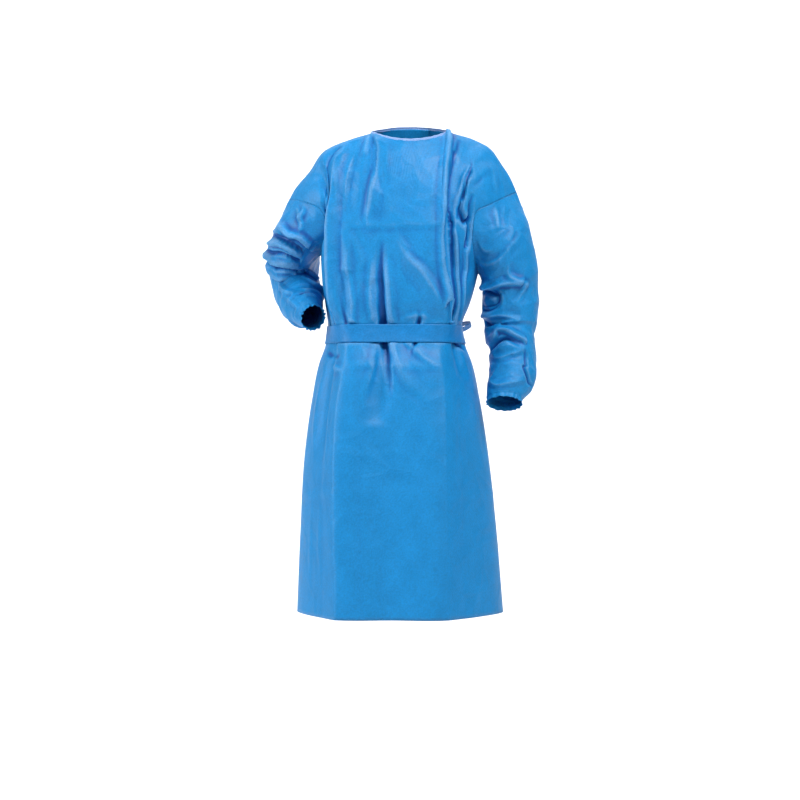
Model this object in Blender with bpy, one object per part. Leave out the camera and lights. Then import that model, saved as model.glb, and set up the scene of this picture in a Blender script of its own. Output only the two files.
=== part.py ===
"""Disposable gown as it hangs when worn, in metres, +Z up.

+X is the wearer's left and -Y is the front. The origin lies between the shoulders at
neck level. Each piece of cloth is a wall whose outer face runs through a grid of points.
Body columns run round the gown from the right side seam over the front to the left side
seam and on round the back. Body rows run from the hem up to the shoulder seams and neck.
"""
import bpy
import bmesh
import numpy as np

# Cloth and seams
WALL = 0.0015
SEAM_GAP = 0.0003
BACK_LAP_RISE = 0.0026
LAP_LEAD_COLUMNS = 3.0
LAP_RAMP_COLUMNS = 2.5

# Heights of the body
HEM_Z = -1.157
BELT_LOW_Z = -0.514
BELT_TOP_Z = -0.470
RIGHT_UNDERARM_Z = -0.300
LEFT_UNDERARM_Z = -0.345

# Columns and rows of the body's grid
FRONT_COLUMNS = 28
BACK_COLUMNS = 26
RIGHT_NECK_COLUMN = 12
LEFT_NECK_COLUMN = 20
BACK_LEFT_NECK = 8
BACK_RIGHT_NECK = 14
LEFT_BACK_EDGE = 12
RIGHT_BACK_EDGE = 10
SKIRT_ROWS = 11
BELT_TOP_ROW = 12
UNDERARM_ROW = 17
ARMHOLE_ROWS = 10
TOP_ROW = UNDERARM_ROW + ARMHOLE_ROWS
SKIRT_ROW_GRADING = 1.35

# Sections of the body: height, x of the sides and of the two pressed creases,
# y of the front at each crease and y of the back
SECTIONS = (
    # z, right_side, right_crease, left_crease, left_side, front_right, front_left, back
    (-1.157, -0.272, -0.167, 0.084, 0.223, -0.165, -0.172, 0.175),
    (-0.958, -0.264, -0.172, 0.083, 0.207, -0.155, -0.162, 0.165),
    (-0.780, -0.254, -0.168, 0.082, 0.188, -0.146, -0.152, 0.153),
    (-0.640, -0.235, -0.159, 0.073, 0.166, -0.136, -0.142, 0.140),
    (-0.560, -0.219, -0.149, 0.070, 0.149, -0.126, -0.130, 0.122),
    (-0.514, -0.203, -0.149, 0.074, 0.132, -0.110, -0.112, 0.104),
    (-0.470, -0.197, -0.160, 0.088, 0.124, -0.106, -0.110, 0.100),
    (-0.418, -0.202, -0.176, 0.094, 0.143, -0.110, -0.124, 0.110),
    (-0.345, -0.211, -0.184, 0.080, 0.163, -0.104, -0.134, 0.124),
    (-0.290, -0.213, -0.184, 0.076, 0.172, -0.102, -0.138, 0.128),
)
RIGHT_SIDE_Y = 0.020
LEFT_SIDE_Y = 0.000
FLANK_BULGE = 0.07
FRONT_BULGE = 0.007
BACK_SQUARENESS = 0.82

# Shoulder seams, from the neck down to the top of the armhole
RIGHT_SHOULDER = (
    # x, y, z
    (-0.093, -0.012, -0.010),
    (-0.154, -0.014, -0.029),
    (-0.212, -0.012, -0.058),
    (-0.240, -0.006, -0.099),
    (-0.278, 0.004, -0.144),
    (-0.290, 0.010, -0.165),
)
LEFT_SHOULDER = (
    # x, y, z
    (0.091, -0.012, -0.006),
    (0.155, -0.015, -0.026),
    (0.190, -0.014, -0.046),
    (0.220, -0.010, -0.085),
    (0.252, -0.002, -0.140),
    (0.256, 0.000, -0.150),
)

# Neck line
NECK_X = -0.001
NECK_HALF_WIDTH = 0.092
NECK_SEAM_Y = -0.012
NECK_SEAM_Z = -0.008
NECK_FRONT_REACH = 0.080
NECK_FRONT_DROP = 0.030
NECK_BACK_REACH = 0.072
NECK_BACK_RISE = 0.018
NECK_FRONT_SLOPE = 0.86
NECK_BACK_SLOPE = 0.93

# Armholes, from the underarm up to the shoulder seam
RIGHT_ARMHOLE_FRONT = (
    # x, y, z
    (-0.2127, 0.020, -0.300),
    (-0.199, -0.040, -0.268),
    (-0.197, -0.075, -0.225),
    (-0.213, -0.080, -0.197),
    (-0.240, -0.062, -0.183),
    (-0.268, -0.030, -0.172),
    (-0.290, 0.010, -0.165),
)
RIGHT_ARMHOLE_BACK = (
    # x, y, z
    (-0.2127, 0.020, -0.300),
    (-0.205, 0.060, -0.286),
    (-0.212, 0.092, -0.250),
    (-0.232, 0.099, -0.208),
    (-0.256, 0.080, -0.182),
    (-0.278, 0.046, -0.170),
    (-0.290, 0.010, -0.165),
)
LEFT_ARMHOLE_FRONT = (
    # x, y, z
    (0.163, 0.000, -0.345),
    (0.152, -0.055, -0.307),
    (0.147, -0.090, -0.250),
    (0.157, -0.098, -0.204),
    (0.183, -0.086, -0.190),
    (0.219, -0.054, -0.170),
    (0.256, 0.000, -0.150),
)
LEFT_ARMHOLE_BACK = (
    # x, y, z
    (0.163, 0.000, -0.345),
    (0.160, 0.055, -0.315),
    (0.166, 0.095, -0.255),
    (0.185, 0.101, -0.206),
    (0.213, 0.080, -0.176),
    (0.240, 0.042, -0.158),
    (0.256, 0.000, -0.150),
)
ARMHOLE_REACH_COLUMNS = 9
CHEST_LIFT = 1.45
CHEST_TURN = 1.75
CHEST_WALL_SHARE = 0.6
LEAST_CHEST_TURN = 0.08

# Largest folds of the body, as soft troughs between two grid places
BODY_FOLDS = (
    # from_column, from_row, to_column, to_row, half_width, depth
    (9.2, 11.5, 9.8, 16.0, 1.5, 0.010),
    (12.6, 11.5, 12.4, 15.5, 1.4, 0.008),
    (20.9, 11.5, 20.9, 20.0, 1.5, 0.012),
    (12.5, 6.5, 12.5, 11.5, 1.6, 0.010),
    (24.2, 8.5, 23.2, 11.5, 1.6, 0.009),
    (5.0, 5.0, 4.5, 11.5, 1.7, 0.010),
    (22.6, 26.5, 21.7, 19.5, 1.5, 0.013),
    (24.4, 26.5, 23.0, 21.0, 1.3, 0.008),
    (13.2, 26.0, 13.4, 21.0, 1.4, 0.007),
    (10.2, 25.5, 9.9, 19.0, 1.4, 0.008),
    (4.6, 25.5, 3.8, 20.0, 1.5, 0.010),
    (2.4, 12.5, 2.8, 17.5, 1.3, 0.007),
    (34.0, 6.0, 34.5, 11.5, 1.6, 0.012),
    (37.5, 11.5, 37.0, 18.0, 1.5, 0.011),
    (44.5, 5.0, 44.0, 11.5, 1.7, 0.012),
    (45.5, 11.5, 46.5, 19.0, 1.5, 0.012),
    (49.6, 7.0, 49.2, 11.5, 1.5, 0.009),
    (33.5, 18.0, 32.5, 24.5, 1.4, 0.010),
    (49.0, 19.0, 50.5, 25.0, 1.4, 0.010),
    (31.0, -2.0, 31.6, 4.5, 1.8, 0.014),
)

# Sleeves: the outer and inner edge of each ring and half its size from front to back
LEFT_SLEEVE = (
    # outer_x, outer_y, outer_z, inner_x, inner_y, inner_z, half_depth
    (0.256, 0.000, -0.150, 0.163, 0.000, -0.345, 0.098),
    (0.281, 0.002, -0.215, 0.172, 0.004, -0.366, 0.088),
    (0.302, 0.006, -0.300, 0.173, 0.006, -0.396, 0.077),
    (0.312, 0.010, -0.377, 0.174, 0.010, -0.432, 0.072),
    (0.307, 0.008, -0.458, 0.177, 0.008, -0.476, 0.066),
    (0.299, -0.004, -0.505, 0.183, -0.004, -0.513, 0.060),
    (0.303, -0.020, -0.562, 0.189, -0.020, -0.556, 0.057),
    (0.296, -0.040, -0.612, 0.184, -0.040, -0.602, 0.052),
    (0.267, -0.058, -0.646, 0.181, -0.058, -0.640, 0.041),
)
RIGHT_SLEEVE = (
    # outer_x, outer_y, outer_z, inner_x, inner_y, inner_z, half_depth
    (-0.290, 0.010, -0.165, -0.2127, 0.020, -0.300, 0.098),
    (-0.316, 0.046, -0.212, -0.2260, 0.052, -0.308, 0.086),
    (-0.340, 0.096, -0.254, -0.2280, 0.108, -0.320, 0.079),
    (-0.352, 0.140, -0.292, -0.2280, 0.156, -0.350, 0.071),
    (-0.340, 0.128, -0.352, -0.2230, 0.138, -0.372, 0.066),
    (-0.325, 0.074, -0.386, -0.2160, 0.092, -0.392, 0.059),
    (-0.312, 0.024, -0.412, -0.2110, 0.046, -0.414, 0.052),
    (-0.290, -0.020, -0.438, -0.2090, 0.002, -0.428, 0.043),
    (-0.264, -0.046, -0.457, -0.2080, -0.028, -0.437, 0.033),
)
SLEEVE_ROWS = 26
SLEEVE_START_ROWS = 4
SLEEVE_SETTLING_ROWS = 9
UNDERARM_LIFT = 0.9

# Elbow and sleeve folds, as troughs round part of the sleeve
LEFT_SLEEVE_FOLDS = (
    # row, angle in turns from the inner edge through the front, half_length, half_turn, depth
    (6.5, 0.16, 1.4, 0.20, 0.009),
    (9.6, 0.38, 1.5, 0.24, 0.008),
    (12.2, 0.14, 1.3, 0.22, 0.010),
    (14.8, 0.30, 1.3, 0.30, 0.008),
    (17.2, 0.95, 1.3, 0.26, 0.011),
    (19.8, 0.25, 1.3, 0.26, 0.007),
    (12.4, 0.62, 1.4, 0.20, 0.007),
    (22.3, 0.70, 1.3, 0.24, 0.006),
    (22.0, 0.12, 1.2, 0.18, 0.006),
)
RIGHT_SLEEVE_FOLDS = (
    # row, angle in turns from the inner edge through the front, half_length, half_turn, depth
    (5.6, 0.34, 1.4, 0.24, 0.008),
    (8.4, 0.22, 1.4, 0.24, 0.012),
    (10.9, 0.30, 1.3, 0.26, 0.013),
    (13.4, 0.20, 1.2, 0.26, 0.013),
    (15.8, 0.36, 1.2, 0.26, 0.009),
    (18.4, 0.46, 1.3, 0.20, 0.008),
    (20.8, 0.30, 1.2, 0.22, 0.007),
    (22.8, 0.58, 1.2, 0.20, 0.006),
    (7.8, 0.78, 1.4, 0.18, 0.006),
)

# Gathered sleeve ends
CUFF_GATHERS = 16
CUFF_POINTS_PER_GATHER = 4
CUFF_LENGTH = 0.015
CUFF_WAVE = 0.0022
CUFF_ROWS = 3
CUFF_END_INSET = 0.02
CUFF_NARROWING = 0.03

# Neck binding and its fastening
BINDING_WIDTH = 0.008
BINDING_WALL = 0.0020
BINDING_RISE = 0.35
BINDING_GAPS = 2.6
BINDING_LAP_GAPS = 4
TAB_COLUMNS = (9.2, 11.8)
TAB_ROWS = (26.15, 26.75)
TAB_STEPS = 4
TAB_STAND_OFF = 0.0010

# Belt, tied in a bow on the left of the back
BELT_INSET = 0.0008
KNOT_COLUMN = 38.7
KNOT_SIZE = (0.034, 0.026, 0.034)
KNOT_CLEARANCE = 0.0020
KNOT_BOX_SHARE = 0.55
KNOT_PINCH = 0.18
LOOP_LENGTH = 0.116
LOOP_HEIGHT = 0.026
LOOP_THROAT = 0.010
LOOP_WIDTH = 0.026
LOOP_STEPS = 28
LOOP_STAND_OFF = 0.010
LOOP_SEAT = {"belt_loop_left": 0.0017, "belt_loop_right": 0.0029}
LOOP_CLIMB = {"belt_loop_left": 0.026, "belt_loop_right": -0.016}
TAIL_STEPS = 14
TAILS = (
    # name, first column, last column, columns drifted by the end, end height, stand off
    ("belt_tail_left", 37.5, 38.6, -1.0, -0.790, 0.0009),
    ("belt_tail_right", 38.9, 40.0, 0.9, -0.845, 0.0009),
)

# Colours
CLOTH_BLUE = (0.016, 0.242, 0.640, 1.0)
BELT_BLUE = (0.014, 0.222, 0.600, 1.0)
BINDING_BLUE = (0.260, 0.420, 0.720, 1.0)
TAB_BLUE = (0.180, 0.360, 0.660, 1.0)
CLOTH_ROUGHNESS = 0.48


def unit(vectors):
    """Vectors brought to length one."""
    return vectors / np.linalg.norm(vectors, axis=-1, keepdims=True)


def smoothstep(value):
    """Soft step from 0 to 1."""
    value = np.clip(value, 0.0, 1.0)
    return value * value * (3.0 - 2.0 * value)


def hermite(start, start_slope, end, end_slope, t):
    """Cubic from start to end with the given slopes."""
    a = 2.0 * t ** 3 - 3.0 * t ** 2 + 1.0
    b = t ** 3 - 2.0 * t ** 2 + t
    c = 3.0 * t ** 2 - 2.0 * t ** 3
    d = t ** 3 - t ** 2
    return a * start + b * start_slope + c * end + d * end_slope


def smooth(knots, values, at):
    """Smooth curve through a table's values, read at the given places."""
    knots = np.asarray(knots, dtype=float)
    values = np.asarray(values, dtype=float)
    slopes = np.gradient(values, knots, axis=0)
    index = np.clip(np.searchsorted(knots, at, side="right") - 1, 0, len(knots) - 2)
    span = knots[index + 1] - knots[index]
    t = (at - knots[index]) / span
    if values.ndim > 1:
        span = span[..., None]
        t = t[..., None]
    return hermite(values[index], slopes[index] * span, values[index + 1], slopes[index + 1] * span, t)


def along(points, fraction):
    """Place at a fraction of a line's length, on a smooth curve through its points."""
    points = np.asarray(points, dtype=float)
    steps = np.linalg.norm(np.diff(points, axis=0), axis=1)
    knots = np.concatenate(([0.0], np.cumsum(steps))) / steps.sum()
    return smooth(knots, points, fraction)


def section_controls(z):
    """Column numbers and places of the points that shape the body at each height."""
    table = np.array(SECTIONS)
    columns = [smooth(table[:, 0], table[:, i], z) for i in range(1, 8)]
    right, right_crease, left_crease, left, front_right, front_left, back = columns
    right_y = np.full_like(z, RIGHT_SIDE_Y)
    left_y = np.full_like(z, LEFT_SIDE_Y)

    def flank(side_x, side_y, crease_x, crease_y, outward):
        span_x = side_x - crease_x
        span_y = side_y - crease_y
        x = crease_x + span_x / 2 + outward * span_y * FLANK_BULGE
        y = crease_y + span_y / 2 - outward * span_x * FLANK_BULGE
        return x, y

    places = [
        (0, right, right_y),
        (4, *flank(right, right_y, right_crease, front_right, -1.0)),
        (8, right_crease, front_right),
        (14, (right_crease + left_crease) / 2, (front_right + front_left) / 2 - FRONT_BULGE),
        (20, left_crease, front_left),
        (24, *flank(left, left_y, left_crease, front_left, 1.0)),
        (28, left, left_y),
    ]
    middle = (right + left) / 2
    half = (left - right) / 2
    for column in (4, 9, 13, 17, 22):
        turn = np.pi * column / BACK_COLUMNS
        side_y = LEFT_SIDE_Y + (RIGHT_SIDE_Y - LEFT_SIDE_Y) * column / BACK_COLUMNS
        across = np.sign(np.cos(turn)) * abs(np.cos(turn)) ** BACK_SQUARENESS
        depth = np.sin(turn) ** BACK_SQUARENESS
        places.append((FRONT_COLUMNS + column, middle + half * across, side_y + (back - side_y) * depth))
    return places


def ring(column, z):
    """Body's outline below the underarms at the given columns and heights."""
    places = section_controls(z)
    around = FRONT_COLUMNS + BACK_COLUMNS
    numbers = np.array([p[0] for p in places], dtype=float)
    points = np.array([np.stack((p[1], p[2]), axis=-1) for p in places])
    numbers = np.concatenate((numbers[-2:] - around, numbers, numbers[:2] + around))
    points = np.concatenate((points[-2:], points, points[:2]))
    slopes = np.gradient(points, numbers, axis=0)
    place = np.mod(column, around)
    index = np.clip(np.searchsorted(numbers, place, side="right") - 1, 0, len(numbers) - 2)
    each = np.arange(len(place))
    span = (numbers[index + 1] - numbers[index])[:, None]
    t = (place - numbers[index])[:, None] / span
    flat = hermite(points[index, each], slopes[index, each] * span,
                   points[index + 1, each], slopes[index + 1, each] * span, t)
    return np.column_stack((flat, z))


def underarm_height(column):
    """Height where the body's side ends, blended from the right arm to the left arm."""
    front = smoothstep(column / FRONT_COLUMNS)
    back = smoothstep((FRONT_COLUMNS + BACK_COLUMNS - column) / BACK_COLUMNS)
    share = np.where(column <= FRONT_COLUMNS, front, back)
    return RIGHT_UNDERARM_Z + (LEFT_UNDERARM_Z - RIGHT_UNDERARM_Z) * share


def row_height(column, row):
    """Height of a body row below the underarms."""
    skirt = 1.0 - (1.0 - np.clip(row / SKIRT_ROWS, 0.0, 1.0)) ** SKIRT_ROW_GRADING
    skirt_z = HEM_Z + (BELT_LOW_Z - HEM_Z) * skirt
    belt_z = BELT_LOW_Z + (BELT_TOP_Z - BELT_LOW_Z) * (row - SKIRT_ROWS)
    rise = (row - BELT_TOP_ROW) / (UNDERARM_ROW - BELT_TOP_ROW)
    upper_z = BELT_TOP_Z + (underarm_height(column) - BELT_TOP_Z) * rise
    return np.where(row <= SKIRT_ROWS, skirt_z, np.where(row <= BELT_TOP_ROW, belt_z, upper_z))


def neck(turn, back):
    """Neck line: turn runs from 0 at the left shoulder seam to 1 at the right one."""
    angle = np.pi * turn
    reach = np.where(back, NECK_BACK_REACH, -NECK_FRONT_REACH)
    lift = np.where(back, NECK_BACK_RISE, -NECK_FRONT_DROP)
    x = NECK_X + NECK_HALF_WIDTH * np.cos(angle)
    y = NECK_SEAM_Y + reach * np.sin(angle)
    z = NECK_SEAM_Z + lift * np.sin(angle) ** 1.5
    return np.stack((x, y, z), axis=-1)


def top_edge(column):
    """Top of each body column, on a shoulder seam or the neck line, and its slope there."""
    back = column > FRONT_COLUMNS
    seam = np.where(back, FRONT_COLUMNS + BACK_COLUMNS - column, column)
    from_left = np.where(back, column - FRONT_COLUMNS, FRONT_COLUMNS - column)
    left_end = np.where(back, BACK_LEFT_NECK, FRONT_COLUMNS - LEFT_NECK_COLUMN)
    right_end = np.where(back, BACK_COLUMNS - BACK_RIGHT_NECK, RIGHT_NECK_COLUMN)
    right = along(RIGHT_SHOULDER, np.clip(1.0 - seam / right_end, 0.0, 1.0))
    left = along(LEFT_SHOULDER, np.clip(1.0 - from_left / left_end, 0.0, 1.0))
    total = np.where(back, BACK_COLUMNS, FRONT_COLUMNS)
    turn = np.clip((from_left - left_end) / (total - left_end - right_end), 0.0, 1.0)
    place = np.where((turn <= 0.0)[:, None], left, np.where((turn >= 1.0)[:, None], right, neck(turn, back)))
    climb = np.sin(np.pi * turn) ** 0.7 * np.where(back, NECK_BACK_SLOPE, NECK_FRONT_SLOPE)
    inward = np.sqrt(1.0 - climb ** 2) * np.where(back, -1.0, 1.0)
    return place, np.stack((np.zeros_like(climb), inward, climb), axis=-1)


def chest_column(column, share):
    """Body above the underarms before it is fitted to the armholes."""
    z = underarm_height(column)
    start = ring(column, z)
    below = ring(column, z - 0.01)
    end, end_way = top_edge(column)
    start_way = unit(start - below)
    height = (end[:, 2] - start[:, 2])[:, None]
    reach = np.linalg.norm(end - start, axis=1)[:, None] - CHEST_WALL_SHARE * height
    turn = np.maximum(reach, LEAST_CHEST_TURN)
    return hermite(start, start_way * height * CHEST_LIFT, end, end_way * turn * CHEST_TURN, share[:, None])


def body_base(column, row):
    """Body's outer face without folds, at any column and row."""
    column = np.asarray(column, dtype=float)
    row = np.asarray(row, dtype=float)
    low = ring(column, row_height(column, np.minimum(row, UNDERARM_ROW)))
    share = np.clip((row - UNDERARM_ROW) / ARMHOLE_ROWS, 0.0, 1.0)
    high = chest_column(column, share)
    back = column > FRONT_COLUMNS
    front_line = {"right": RIGHT_ARMHOLE_FRONT, "left": LEFT_ARMHOLE_FRONT}
    back_line = {"right": RIGHT_ARMHOLE_BACK, "left": LEFT_ARMHOLE_BACK}
    for side in ("right", "left"):
        edge_front = 0.0 if side == "right" else FRONT_COLUMNS
        edge_back = FRONT_COLUMNS + BACK_COLUMNS if side == "right" else FRONT_COLUMNS + 1e-9
        edge = np.where(back, edge_back, edge_front)
        line = np.where(back[:, None], along(back_line[side], share), along(front_line[side], share))
        near = 1.0 - smoothstep(abs(column - edge) / ARMHOLE_REACH_COLUMNS)
        high = high + near[:, None] * (line - chest_column(edge, share))
    return np.where((row > UNDERARM_ROW)[:, None], high, low)


def face_normal(surface, column, row, low_column, high_column):
    """Outward direction of a surface given as a function of column and row."""
    step = 0.02
    ahead = surface(np.minimum(column + step, high_column), row)
    behind = surface(np.maximum(column - step, low_column), row)
    above = surface(column, np.minimum(row + step, TOP_ROW))
    below = surface(column, np.maximum(row - step, 0.0))
    return unit(np.cross(ahead - behind, above - below))


def panel_limits(column):
    """Columns where the front or the back ends on either side of a column."""
    back = column > FRONT_COLUMNS
    low = np.where(back, FRONT_COLUMNS + 1e-9, 0.0)
    high = np.where(back, FRONT_COLUMNS + BACK_COLUMNS, FRONT_COLUMNS)
    return low, high


def fold_depth(column, row):
    """How far the cloth is drawn in by the folds."""
    depth = np.zeros_like(column)
    for from_column, from_row, to_column, to_row, half_width, deep in BODY_FOLDS:
        share = (row - from_row) / (to_row - from_row)
        centre = from_column + (to_column - from_column) * share
        across = np.clip(1.0 - ((column - centre) / half_width) ** 2, 0.0, 1.0) ** 2
        length = np.clip(1.0 - (2.0 * share - 1.0) ** 4, 0.0, 1.0)
        depth = depth + deep * across * length
    return depth


def body(column, row, rise=0.0, folded=True):
    """Body's outer face, lifted outward by rise."""
    column = np.asarray(column, dtype=float)
    row = np.asarray(row, dtype=float)
    low, high = panel_limits(column)
    normal = face_normal(body_base, column, row, low, high)
    depth = fold_depth(column, row) if folded else 0.0
    return body_base(column, row) + normal * np.reshape(rise - depth, (-1, 1))


def grid(columns, rows, place):
    """Points of a panel as rows of columns."""
    column, row = np.meshgrid(np.asarray(columns, dtype=float), np.asarray(rows, dtype=float))
    return place(column.ravel(), row.ravel()).reshape(*column.shape, 3)


def grid_normals(points, closed=False):
    """Outward directions at a grid's points, from its own faces."""
    if closed:
        ring_points = np.concatenate((points[:, -2:-1], points, points[:, 1:2]), axis=1)
        across = (ring_points[:, 2:] - ring_points[:, :-2])
    else:
        across = np.gradient(points, axis=1)
    up = np.gradient(points, axis=0)
    return unit(np.cross(across, up))


def seam_shift(into_first, into_second):
    """Half the seam gap, pointing from the seam into the first piece."""
    return unit(unit(into_first) - unit(into_second)) * SEAM_GAP / 2


def square_to(line, normals, into):
    """Ways into a piece that are square to its seam line."""
    tangent = unit(np.gradient(line, axis=0))
    ways = unit(np.cross(normals, tangent))
    return ways * np.where(np.sum(ways * into, axis=1) < 0.0, -1.0, 1.0)[:, None]


def cloth_material(name, colour, roughness=CLOTH_ROUGHNESS):
    """Plain cloth finish of one piece."""
    material = bpy.data.materials.new(name)
    material.use_nodes = True
    shader = material.node_tree.nodes["Principled BSDF"]
    shader.inputs["Base Color"].default_value = colour
    shader.inputs["Roughness"].default_value = roughness
    shader.inputs["Metallic"].default_value = 0.0
    return material


def place_object(name, mesh, colour):
    """New object of a finished bmesh."""
    data = bpy.data.meshes.new(name)
    mesh.to_mesh(data)
    mesh.free()
    data.materials.append(cloth_material(name, colour))
    data.shade_smooth()
    data.set_sharp_from_angle(angle=np.radians(50))
    thing = bpy.data.objects.new(name, data)
    bpy.context.collection.objects.link(thing)
    return thing


def wall(name, points, thickness, colour, closed=False):
    """Cloth wall between a grid of outer points and the same grid moved by thickness."""
    rows, columns = points.shape[:2]
    mesh = bmesh.new()
    bmesh.ops.create_grid(mesh, x_segments=columns - 1, y_segments=rows - 1, size=1.0)
    layer = mesh.verts.layers.float_vector.new("thickness")
    vectors = thickness.reshape(-1, 3)
    for vertex, point, vector in zip(mesh.verts, points.reshape(-1, 3), vectors):
        vertex.co = point
        vertex[layer] = vector
    if closed:
        bmesh.ops.remove_doubles(mesh, verts=mesh.verts, dist=1e-6)
    bmesh.ops.triangulate(mesh, faces=mesh.faces, quad_method="FIXED")
    made = bmesh.ops.extrude_face_region(mesh, geom=list(mesh.faces), use_keep_orig=True)
    for vertex in made["geom"]:
        if isinstance(vertex, bmesh.types.BMVert):
            vertex.co = vertex.co + vertex[layer]
    mesh.verts.layers.float_vector.remove(layer)
    mesh.normal_update()
    bmesh.ops.recalc_face_normals(mesh, faces=mesh.faces)
    return place_object(name, mesh, colour)


def sleeve_points(table, folds, loop, seam_way, panel_normal):
    """Grid of a sleeve from the armhole to its end, with the seam column at the inner edge."""
    table = np.array(table)
    stations = np.linspace(0, SLEEVE_ROWS, len(table))
    rows = np.arange(SLEEVE_ROWS + 1, dtype=float)
    values = smooth(stations, table, rows)
    outer, inner, half_depth = values[:, :3], values[:, 3:6], values[:, 6]
    centre = (outer + inner) / 2
    arm = (outer - inner) / 2
    way = unit(np.gradient(centre, axis=0))
    front = unit(np.cross(arm, way))
    front = front * np.sign(-(front @ np.array([0.0, 1.0, -0.4])))[:, None]
    settled = smoothstep(rows / SLEEVE_SETTLING_ROWS)[:, None]
    front = unit(front * settled + np.array([0.0, -1.0, 0.0]) * (1.0 - settled))
    turns = np.linspace(0.0, 1.0, len(loop))
    angle = 2.0 * np.pi * turns
    depth = np.zeros((len(rows), len(turns)))
    for fold_row, fold_turn, half_length, half_turn, deep in folds:
        apart = abs(np.mod(turns - fold_turn + 0.5, 1.0) - 0.5) / half_turn
        length = (rows - fold_row) / half_length
        trough = np.clip(1.0 - apart ** 2, 0.0, 1.0)[None, :] * np.clip(1.0 - length ** 2, 0.0, 1.0)[:, None]
        depth = depth + deep * trough
    radial = -arm[:, None] * np.cos(angle)[None, :, None]
    radial = radial + (front * half_depth[:, None])[:, None] * np.sin(angle)[None, :, None]
    points = centre[:, None] + radial - unit(radial) * depth[:, :, None]
    start = SLEEVE_START_ROWS
    end = points[start]
    end_slope = (points[start + 1] - points[start]) * start
    reach = end - loop
    follow = np.clip(np.sum(unit(reach) * seam_way, axis=1), 0.0, 1.0)[:, None]
    length = np.linalg.norm(reach, axis=1)[:, None]
    clear = panel_normal * (UNDERARM_LIFT * np.clip(np.cos(angle), 0.0, 1.0))[:, None]
    start_slope = unit(unit(reach) * (1.05 - follow) + seam_way * follow + clear) * length
    for i in range(start):
        points[i] = hermite(loop, start_slope, end, end_slope, i / start)
    return points


def body_panels():
    """Front and back grids with their outward directions."""
    rows = np.arange(TOP_ROW + 1)
    front_columns = np.arange(FRONT_COLUMNS + 1)
    back_columns = FRONT_COLUMNS + np.arange(BACK_COLUMNS + 1)
    back_columns = np.where(back_columns == FRONT_COLUMNS, FRONT_COLUMNS + 1e-9, back_columns)

    front = grid(front_columns, rows, body)
    back = grid(back_columns, rows, body)
    return front, grid_normals(front), back, grid_normals(back)


def armhole(front, back, side):
    """Loop of an armhole from the underarm over the front and back, and the way into the panel."""
    first = 0 if side == "right" else -1
    second = 1 if side == "right" else -2
    back_first = -1 if side == "right" else 0
    back_second = -2 if side == "right" else 1
    up = slice(UNDERARM_ROW, None)
    front_edge = front[up, first]
    front_way = front[up, second] - front_edge
    back_edge = back[up, back_first]
    back_way = back[up, back_second] - back_edge
    loop = np.concatenate((front_edge, back_edge[-2::-1]))
    into = np.concatenate((front_way, back_way[-2::-1]))
    return loop, unit(into)


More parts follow.
